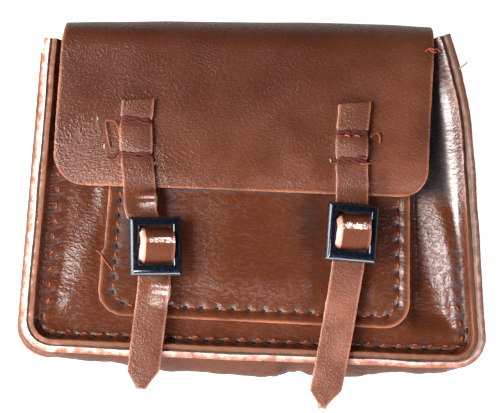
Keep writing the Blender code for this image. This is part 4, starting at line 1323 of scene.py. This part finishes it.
def makeBuckleRing():
    # a block, opened by an inset on both faces, with broad outer bevels and small inner ones
    width, height, rim = strapShape["windowWidth"] + 2 * buckle["rim"], buckleHeight, buckle["rim"]
    low, high = buckleZ, buckleZ + buckle["thickness"]
    bpy.ops.object.select_all(action="DESELECT")
    bpy.ops.mesh.primitive_cube_add(size=1.0, location=(0.0, 0.0, (low + high) / 2))
    ring = bpy.context.object
    ring.scale = (width, height, buckle["thickness"])
    applyPlace()
    bpy.context.tool_settings.mesh_select_mode = (False, False, True)
    for part in (*ring.data.vertices, *ring.data.edges):
        part.select = False
    for face in ring.data.polygons:
        face.select = abs(face.normal.z) > 0.9
    bpy.ops.object.mode_set(mode="EDIT")
    bpy.ops.mesh.inset(thickness=rim, use_individual=True)
    bpy.ops.mesh.bridge_edge_loops()
    bpy.ops.object.mode_set(mode="OBJECT")
    for vertex in ring.data.vertices:
        if vertex.co.y < -height / 2 + 0.0001:
            vertex.co.y -= buckle["bottomExtra"]

    def outerTop(place):
        outer = abs(place.x) > width / 2 - 0.6 * rim or abs(place.y) > height / 2 - 0.6 * rim
        return outer and place.z > high - 0.00001

    editEdges(ring, outerTop)
    bpy.ops.mesh.bevel(offset=buckle["bevel"], segments=1, affect="EDGES")
    bpy.ops.object.mode_set(mode="OBJECT")
    roundEdges(ring, buckle["rounding"], buckle["roundedFrom"])
    bpy.ops.object.select_all(action="DESELECT")
    bpy.ops.mesh.primitive_cylinder_add(vertices=buckle["barSides"], radius=buckle["barRadius"],
                                        depth=width - rim, location=(0.0, 0.0, barZ),
                                        rotation=(0.0, math.pi / 2, 0.0))
    bar = bpy.context.object
    applyPlace()
    selectOnly(ring, bar)
    bpy.ops.object.join()
    ring.data.materials.clear()
    ring.data.materials.append(buckleEnamel)
    ring.data.materials.append(innerEnamel)
    for face in ring.data.polygons:
        x, y, _ = face.center
        fromEdge = min(strapShape["windowWidth"] / 2 - abs(x), windowHeight / 2 - abs(y))
        within = fromEdge > -0.0001
        face.material_index = 1 if within and abs(face.normal.z) < 0.6 else 0
    return ring


def makeBuckles():
    pattern = makeBuckleRing()
    for side, strap in straps.items():
        piece = copyOf(pattern)
        piece.name = "buckle" + side
        placeOnStrap(piece, strap)
        bpy.ops.object.shade_smooth_by_angle(angle=buckle["smoothTo"])
        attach(piece, "root")
        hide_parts("buckle_" + side.lower())
        print(piece.name, "faces", len(piece.data.polygons))
    bpy.data.objects.remove(pattern, do_unlink=True)


def makeBuckleTab(side, strap):
    # a strip from under the strap up round the bar and back down onto itself
    leather, length, spacing = buckleTab["leather"], buckleTab["length"], buckleTab["spacing"]
    radius = buckle["barRadius"] + seat + leather / 2
    footZ = strapUnderBarZ - body["leather"] / 2 - seat - leather / 2
    line = [(-length + spacing * i, footZ) for i in range(round((length - buckleTab["foot"]) / spacing))]
    below = -math.pi / 2
    wrap = (below + buckleTab["wrapStart"], below + buckleTab["wrapEnd"] - 2 * math.pi)
    line += arc((0.0, barZ), radius, *wrap, buckleTab["wrapSteps"])

    def place(i, j):
        y, z = line[j]
        share = 2 * i / buckleTab["columns"] - 1
        ragged = buckleTab["ragged"] * waves(j * spacing, share, 0.002, strap["tabSeed"])
        half = buckleTab["width"] / 2 + ragged
        return Vector((half * share, y, z)), 1 - smooth(half * (1 - abs(share)), 0.0, 0.0005)

    tab = gridSheet("buckleTab" + side, buckleTab["columns"], len(line) - 1, place)
    faceOutwards(tab, lambda centre: (0.0, centre.y, centre.z - barZ))
    placeOnStrap(tab, strap)
    finishLeather(tab, leather, strapLeather, strapEdge, "buckle_tab_" + side.lower())


makeBuckles()
for side, strap in straps.items():
    makeBuckleTab(side, strap)

stitch = {"length": 0.0014, "radius": 0.00020, "sides": 6, "steps": 7, "dive": 0.00042, "raised": 0.0002,
          "jitter": math.radians(9.0), "onSeam": 0.00008, "onPocket": 0.00010, "rampHides": 0.25}


def oneStitch(name, material):
    # a short length of thread whose two ends go down into the leather
    bpy.ops.object.select_all(action="DESELECT")
    bpy.ops.mesh.primitive_cylinder_add(vertices=stitch["sides"], radius=stitch["radius"],
                                        depth=stitch["length"], rotation=(0.0, math.pi / 2, 0.0))
    piece = bpy.context.object
    piece.name = name
    piece.data.materials.append(material)
    applyPlace()
    bpy.ops.object.mode_set(mode="EDIT")
    for i in range(1, stitch["steps"]):
        x = stitch["length"] * (i / stitch["steps"] - 0.5)
        bpy.ops.mesh.select_all(action="SELECT")
        bpy.ops.mesh.bisect(plane_co=(x, 0.0, 0.0), plane_no=(1.0, 0.0, 0.0))
    bpy.ops.object.mode_set(mode="OBJECT")
    for vertex in piece.data.vertices:
        share = 2 * vertex.co.x / stitch["length"]
        vertex.co.z -= stitch["dive"] * share ** 4
        vertex.co.y *= 1.15 - 0.25 * share ** 2
    return piece


def copyAlong(name, frames, material, scale=1.0):
    # one copy of the stitch at each frame (place, direction, outward normal), all joined into one piece
    pattern = oneStitch(name + "Pattern", material)
    copies = []
    for index, (place, along, outward) in enumerate(frames):
        copy = copyOf(pattern)
        side = outward.cross(along).normalized()
        upward = along.cross(side).normalized()
        jitter = Matrix.Rotation(stitch["jitter"] * waves(index * 0.37, 0.5, 1.0, 91.0), 3, "Z")
        turn = Matrix((along.normalized(), side, upward)).transposed() @ jitter
        copy.data.transform(Matrix.Translation(place) @ turn.to_4x4() @ Matrix.Scale(scale, 4))
        copies.append(copy)
    bpy.data.objects.remove(pattern, do_unlink=True)
    joinPieces(name, copies)


def seamAt(length):
    # place, outward direction and forward direction of the seam at a length along it
    for (p0, n0, l0), (p1, n1, l1) in zip(seamPoints, seamPoints[1:]):
        if l0 <= length <= l1:
            share = (length - l0) / (l1 - l0)
            return p0.lerp(p1, share), n0.lerp(n1, share).normalized(), (p1 - p0).normalized()


def makeSeamStitches():
    frames = []
    for k in range(1, stitchCount):
        length = stitchPitch * k
        if rampShare(length) > stitch["rampHides"]:
            continue
        point, normal, along = seamAt(length)
        lean = leanAt(length)
        inward = Vector((-math.cos(lean) * normal.x, -math.cos(lean) * normal.y, math.sin(lean)))
        up = Vector((math.sin(lean) * normal.x, math.sin(lean) * normal.y, math.cos(lean)))
        base = Vector((point.x, point.y, seamZ)) + up * stitch["raised"]
        place = base + inward * (body["leather"] / 2 + stitch["onSeam"])
        frames.append((place, along.to_3d(), inward))
    copyAlong("seamStitches", frames, threads["seam"])


def onPocket(x, y, angle, above):
    # a stitch's frame on the pocket's grain side
    sx, sy = pocketSlanted(x, y)
    z = pocketZ + pocketRelief(x, y) + body["leather"] / 2 + above
    return Vector((sx, sy, z)), Vector((math.cos(angle), math.sin(angle), 0.0)), outOfFront


def makePocketStitches():
    frames = [onPocket(x, y, angle, stitch["onPocket"]) for x, y, angle in pocketStitches]
    copyAlong("pocketStitches", frames, threads["seam"])


fuzz = {"scale": 0.70, "height": 0.00005, "inside": 0.0003, "spread": 0.0004, "skew": 1.1, "rampHides": 0.34}


def makeFuzz():
    # specks of thread pulled up between the needle holes
    frames = []
    for k in range(1, stitchCount):
        length = stitchPitch * (k + 0.5)
        if rampShare(length) > fuzz["rampHides"]:
            continue
        point, normal, along = seamAt(length)
        z = panelZ + body["leather"] / 2 + frontPanel["pucker"] * (1 - rampShare(length)) + fuzz["height"]
        aside = normal.to_3d() * fuzz["spread"] * waves(k * 0.73, 0.3, 1.0, 95.0)
        skew = normal.to_3d() * fuzz["skew"] * waves(k * 0.57, 0.7, 1.0, 96.0)
        place = offSeam((point, normal, length), bendStart(length) - fuzz["inside"], z) + aside
        frames.append((place, along.to_3d() + skew, outOfFront))
    for k, ((x0, y0, turn0), (x1, y1, turn1)) in enumerate(zip(pocketStitches, pocketStitches[1:])):
        y = (y0 + y1) / 2 + fuzz["spread"] * waves(k * 0.73, 0.3, 1.0, 97.0)
        turn = (turn0 + turn1) / 2 + fuzz["skew"] * waves(k * 0.57, 0.7, 1.0, 98.0)
        frames.append(onPocket((x0 + x1) / 2, y, turn, fuzz["height"]))
    copyAlong("threadFuzz", frames, threads["orange"], fuzz["scale"])


makeSeamStitches()
makePocketStitches()
makeFuzz()

handSewing = {"radius": 0.00022, "rowSpread": 0.00048, "strands": 5, "steps": 14, "tangle": 0.00024,
              "hop": 0.00010, "overhang": (0.0006, 0.0003), "dive": 0.0012, "diveFrom": 0.80}


def makeThread(name, points, radius, material):
    # a length of thread laid through the points
    bpy.ops.object.select_all(action="DESELECT")
    bpy.ops.curve.primitive_nurbs_path_add()
    curve = bpy.context.object.data
    curve.splines.clear()
    spline = curve.splines.new("NURBS")
    spline.points.add(len(points) - 1)
    for target, point in zip(spline.points, points):
        target.co = (*point, 1.0)
    spline.order_u = 3
    spline.use_endpoint_u = True
    spline.resolution_u = 4
    curve.bevel_depth = radius
    curve.bevel_resolution = 1
    curve.use_fill_caps = True
    bpy.ops.object.convert(target="MESH")
    piece = bpy.context.object
    piece.name = name
    piece.data.materials.clear()
    piece.data.materials.append(material)
    return piece


def strapTop(strap, share, y):
    # the grain side of a strap where it lies on the flap
    low = strapOnFlapZ + flapRelief(strapMiddle(strap, y), y) - strapShape["bedding"]
    return low + strapRise(share, *rowShare(strap, y)) + body["leather"] / 2


def makeHandStitches(side, strap):
    # the threads of a row run crosswise, tangle with one another, and dive at the strap's edges
    # the odd factors of turn, share and strand only keep them from running alike
    strands, steps, radius = handSewing["strands"], handSewing["steps"], handSewing["radius"]
    half = strapShape["width"] / 2 - strapShape["pinch"] / 2
    pieces = []
    for row, level in enumerate(strap["rows"]):
        for strand in range(strands):
            turn = 2.3 * strand + row + strap["x"] * 90
            offset = (2 * strand / (strands - 1) - 1) * handSewing["rowSpread"]
            points = []
            for k in range(steps + 1):
                share = 2 * k / steps - 1
                tangle = handSewing["tangle"] * math.sin((3.4 + 0.7 * strand) * share + 1.9 * turn)
                y = lipY + level + offset * math.cos(1.7 * share + turn) + tangle
                x = strapMiddle(strap, y) + (half + handSewing["overhang"][strand % 2]) * share
                edge = smooth(abs(share), handSewing["diveFrom"], 1.0)
                above = radius * 0.5 + handSewing["hop"] * math.cos(7.0 * share + turn)
                z = strapTop(strap, share, y) + above * (1 - edge) - handSewing["dive"] * edge
                points.append((x, y, z))
            pieces.append(makeThread("handThread", points, radius, threads["hand"]))
    joinPieces("handStitches" + side, pieces)


# loose ends and flecks: thread, radius, points (x, y, height over what they lie on)
looseThreads = {
    "loopLeft": ("orange", 0.00014, (
        (-0.0269, 0.0133, 0.0), (-0.0276, 0.0132, 0.0003), (-0.0284, 0.0132, 0.0004),
        (-0.0289, 0.0130, 0.0002), (-0.0288, 0.0119, 0.0005), (-0.0285, 0.0101, 0.0006),
        (-0.0282, 0.0088, 0.0004), (-0.0279, 0.0080, 0.0))),
    "loopInner": ("orange", 0.00014, (
        (-0.0276, 0.0132, 0.0), (-0.0269, 0.0129, 0.0006), (-0.0265, 0.0115, 0.0009),
        (-0.0263, 0.0104, 0.0010), (-0.0260, 0.0094, 0.0012), (-0.0253, 0.0083, 0.0013))),
    "endLeft": ("hand", 0.00015, (
        (-0.0284, 0.0064, 0.0), (-0.0280, 0.0058, 0.0002), (-0.0274, 0.0061, 0.0001),
        (-0.0266, 0.0070, 0.0004))),
    "curlRight": ("orange", 0.00014, (
        (0.0214, 0.0110, 0.0010), (0.0221, 0.0117, 0.0005), (0.0230, 0.0118, 0.0003),
        (0.0233, 0.0110, 0.0004), (0.0233, 0.0100, 0.0001))),
    "endRight": ("orange", 0.00015, (
        (0.0192, 0.0058, 0.0016), (0.0203, 0.0056, 0.0017), (0.0212, 0.0059, 0.0015),
        (0.0220, 0.0063, 0.0006), (0.0227, 0.0066, 0.0002))),
    "fleckTop": ("pale", 0.00013, ((-0.0304, 0.0138, 0.0), (-0.0302, 0.0132, 0.0001))),
    "fleckLeft": ("pale", 0.00016, ((-0.0290, 0.0087, 0.0001), (-0.0290, 0.0079, 0.0001))),
    "fleckMiddle": ("pale", 0.00015, ((-0.0194, 0.0055, 0.0001), (-0.0197, 0.0049, 0.0001))),
    "fleckRight": ("pale", 0.00014, ((0.0138, 0.0067, 0.0001), (0.0139, 0.0061, 0.0001))),
    "knotTop": ("orange", 0.00016, (
        (0.0322, 0.0279, 0.0002), (0.0330, 0.0287, 0.0004), (0.0339, 0.0282, 0.0003),
        (0.0345, 0.0287, -0.0002), (0.0352, 0.0281, -0.0007))),
    "knotLow": ("orange", 0.00014, (
        (0.0329, 0.0284, 0.0003), (0.0337, 0.0276, 0.0004), (0.0344, 0.0279, -0.0001))),
    "strayOnPocket": ("orange", 0.00012, (
        (-0.0301, -0.0112, -0.0005), (-0.0296, -0.0115, 0.0002), (-0.0287, -0.0128, 0.0001),
        (-0.0279, -0.0138, 0.0), (-0.0271, -0.0149, -0.0001))),
    "beadLeft": ("orange", 0.00020, (
        (0.0163, 0.0111, 0.0017), (0.0168, 0.0112, 0.0019), (0.0172, 0.0109, 0.0017))),
    "beadRight": ("orange", 0.00020, (
        (0.0182, 0.0110, 0.0017), (0.0187, 0.0112, 0.0019), (0.0191, 0.0110, 0.0016))),
    "stubRight": ("olive", 0.00015, (
        (0.0386, 0.0246, -0.0012), (0.0396, 0.0254, -0.0009), (0.0407, 0.0263, -0.0007)))}


def leatherUnder(x, y):
    # the height of the leather's middle under a stray thread; the flap's drooping corners are felt for
    if y < lipY:
        return pocketZ + pocketRelief(x, y) if x > -0.0305 else pocketZ
    surface = flapZ + flapRelief(x, y)
    hit, place, *_ = bpy.data.objects["backAndFlap"].ray_cast(Vector((x, y, 0.05)), -outOfFront)
    felt = place.z - body["leather"] / 2
    return felt if hit and abs(felt - surface) < 0.003 else surface


def makeLooseThreads():
    pieces = []
    for name, (colour, radius, points) in looseThreads.items():
        above = body["leather"] / 2 + radius * 0.8
        placed = [(x, y, leatherUnder(x, y) + above + height) for x, y, height in points]
        pieces.append(makeThread(name, placed, radius, threads[colour]))
    joinPieces("looseThreads", pieces)


for side, strap in straps.items():
    makeHandStitches(side, strap)
makeLooseThreads()

white = (1.0, 1.0, 1.0)
# place, width, height, power, colour; the two low cards show in the buckles' bevels and along the edges
lamps = {"leftKey": ((-0.37, -0.07, 0.40), 0.28, 0.28, 7.7, white),
         "frontKey": ((-0.06, -0.17, 0.13), 0.07, 0.07, 0.55, white),
         "rightFill": ((0.26, -0.16, 0.22), 0.12, 0.12, 0.9, (0.80, 0.82, 1.0)),
         "leftCard": ((-0.50, 0.02, 0.06), 0.40, 0.16, 2.6, white),
         "frontCard": ((0.02, -0.50, 0.055), 0.40, 0.06, 1.0, white)}
# floorGlow: what the floor lights the bag with, and what the camera sees
studio = {"floorSize": 3.0, "floorColour": (0.34, 0.34, 0.33), "floorGlow": (0.10, 0.95),
          "world": 0.40, "horizon": 0.15, "overhead": 0.72, "overheadShare": 0.02, "farShare": 0.10,
          "towards": (-0.6, -0.8, 0.0), "exposure": 0.0}


def addLamp(name, place, width, height, power, colour):
    data = bpy.data.lights.new(name, "AREA")
    data.shape = "RECTANGLE"
    data.size = width
    data.size_y = height
    data.energy = power
    data.color = colour
    lamp = bpy.data.objects.new(name, data)
    lamp.location = place
    lamp.rotation_euler = (-Vector(place)).to_track_quat("-Z", "Y").to_euler()
    bpy.context.collection.objects.link(lamp)


def addStage():
    # a light table under the bag: it looks white and glows only a little on the bag
    bpy.ops.mesh.primitive_plane_add(size=studio["floorSize"])
    floor = bpy.context.object
    floor.name = "floor"
    material, tree, shader, _ = startMaterial("floorWhite")
    seen = newNode(tree, "LightPath").outputs["Is Camera Ray"]
    setInputs(tree, shader, {"Base Color": (*studio["floorColour"], 1.0), "Roughness": 0.8,
                             "Emission Color": (*white, 1.0),
                             "Emission Strength": fromTo(tree, seen, (0.0, 1.0), studio["floorGlow"])})
    floor.data.materials.append(material)


def addSurroundings():
    # a pale studio, brightest low down on the side of the key light, and dark overhead
    world = bpy.data.worlds.new("studio")
    world.use_nodes = True
    tree = world.node_tree
    direction = newNode(tree, "TexCoord").outputs["Generated"]
    height = newNode(tree, "SeparateXYZ", {0: direction}).outputs["Z"]
    low = fromTo(tree, height, (studio["horizon"], studio["overhead"]), (1.0, studio["overheadShare"]),
                 interpolation_type="SMOOTHSTEP")
    facing = newNode(tree, "VectorMath", {0: direction, 1: studio["towards"]}, operation="DOT_PRODUCT")
    side = fromTo(tree, facing.outputs["Value"], (-1.0, 1.0), (studio["farShare"], 1.0))
    strength = calc(tree, "MULTIPLY", low, side, studio["world"])
    setInputs(tree, tree.nodes["Background"], {"Color": (*white, 1.0), "Strength": strength})
    bpy.context.scene.world = world
    bpy.context.scene.view_settings.view_transform = "Standard"
    bpy.context.scene.view_settings.exposure = studio["exposure"]


addCamera()
addStage()
addSurroundings()
for name, lamp in lamps.items():
    addLamp(name, *lamp)
print("camera and light set")
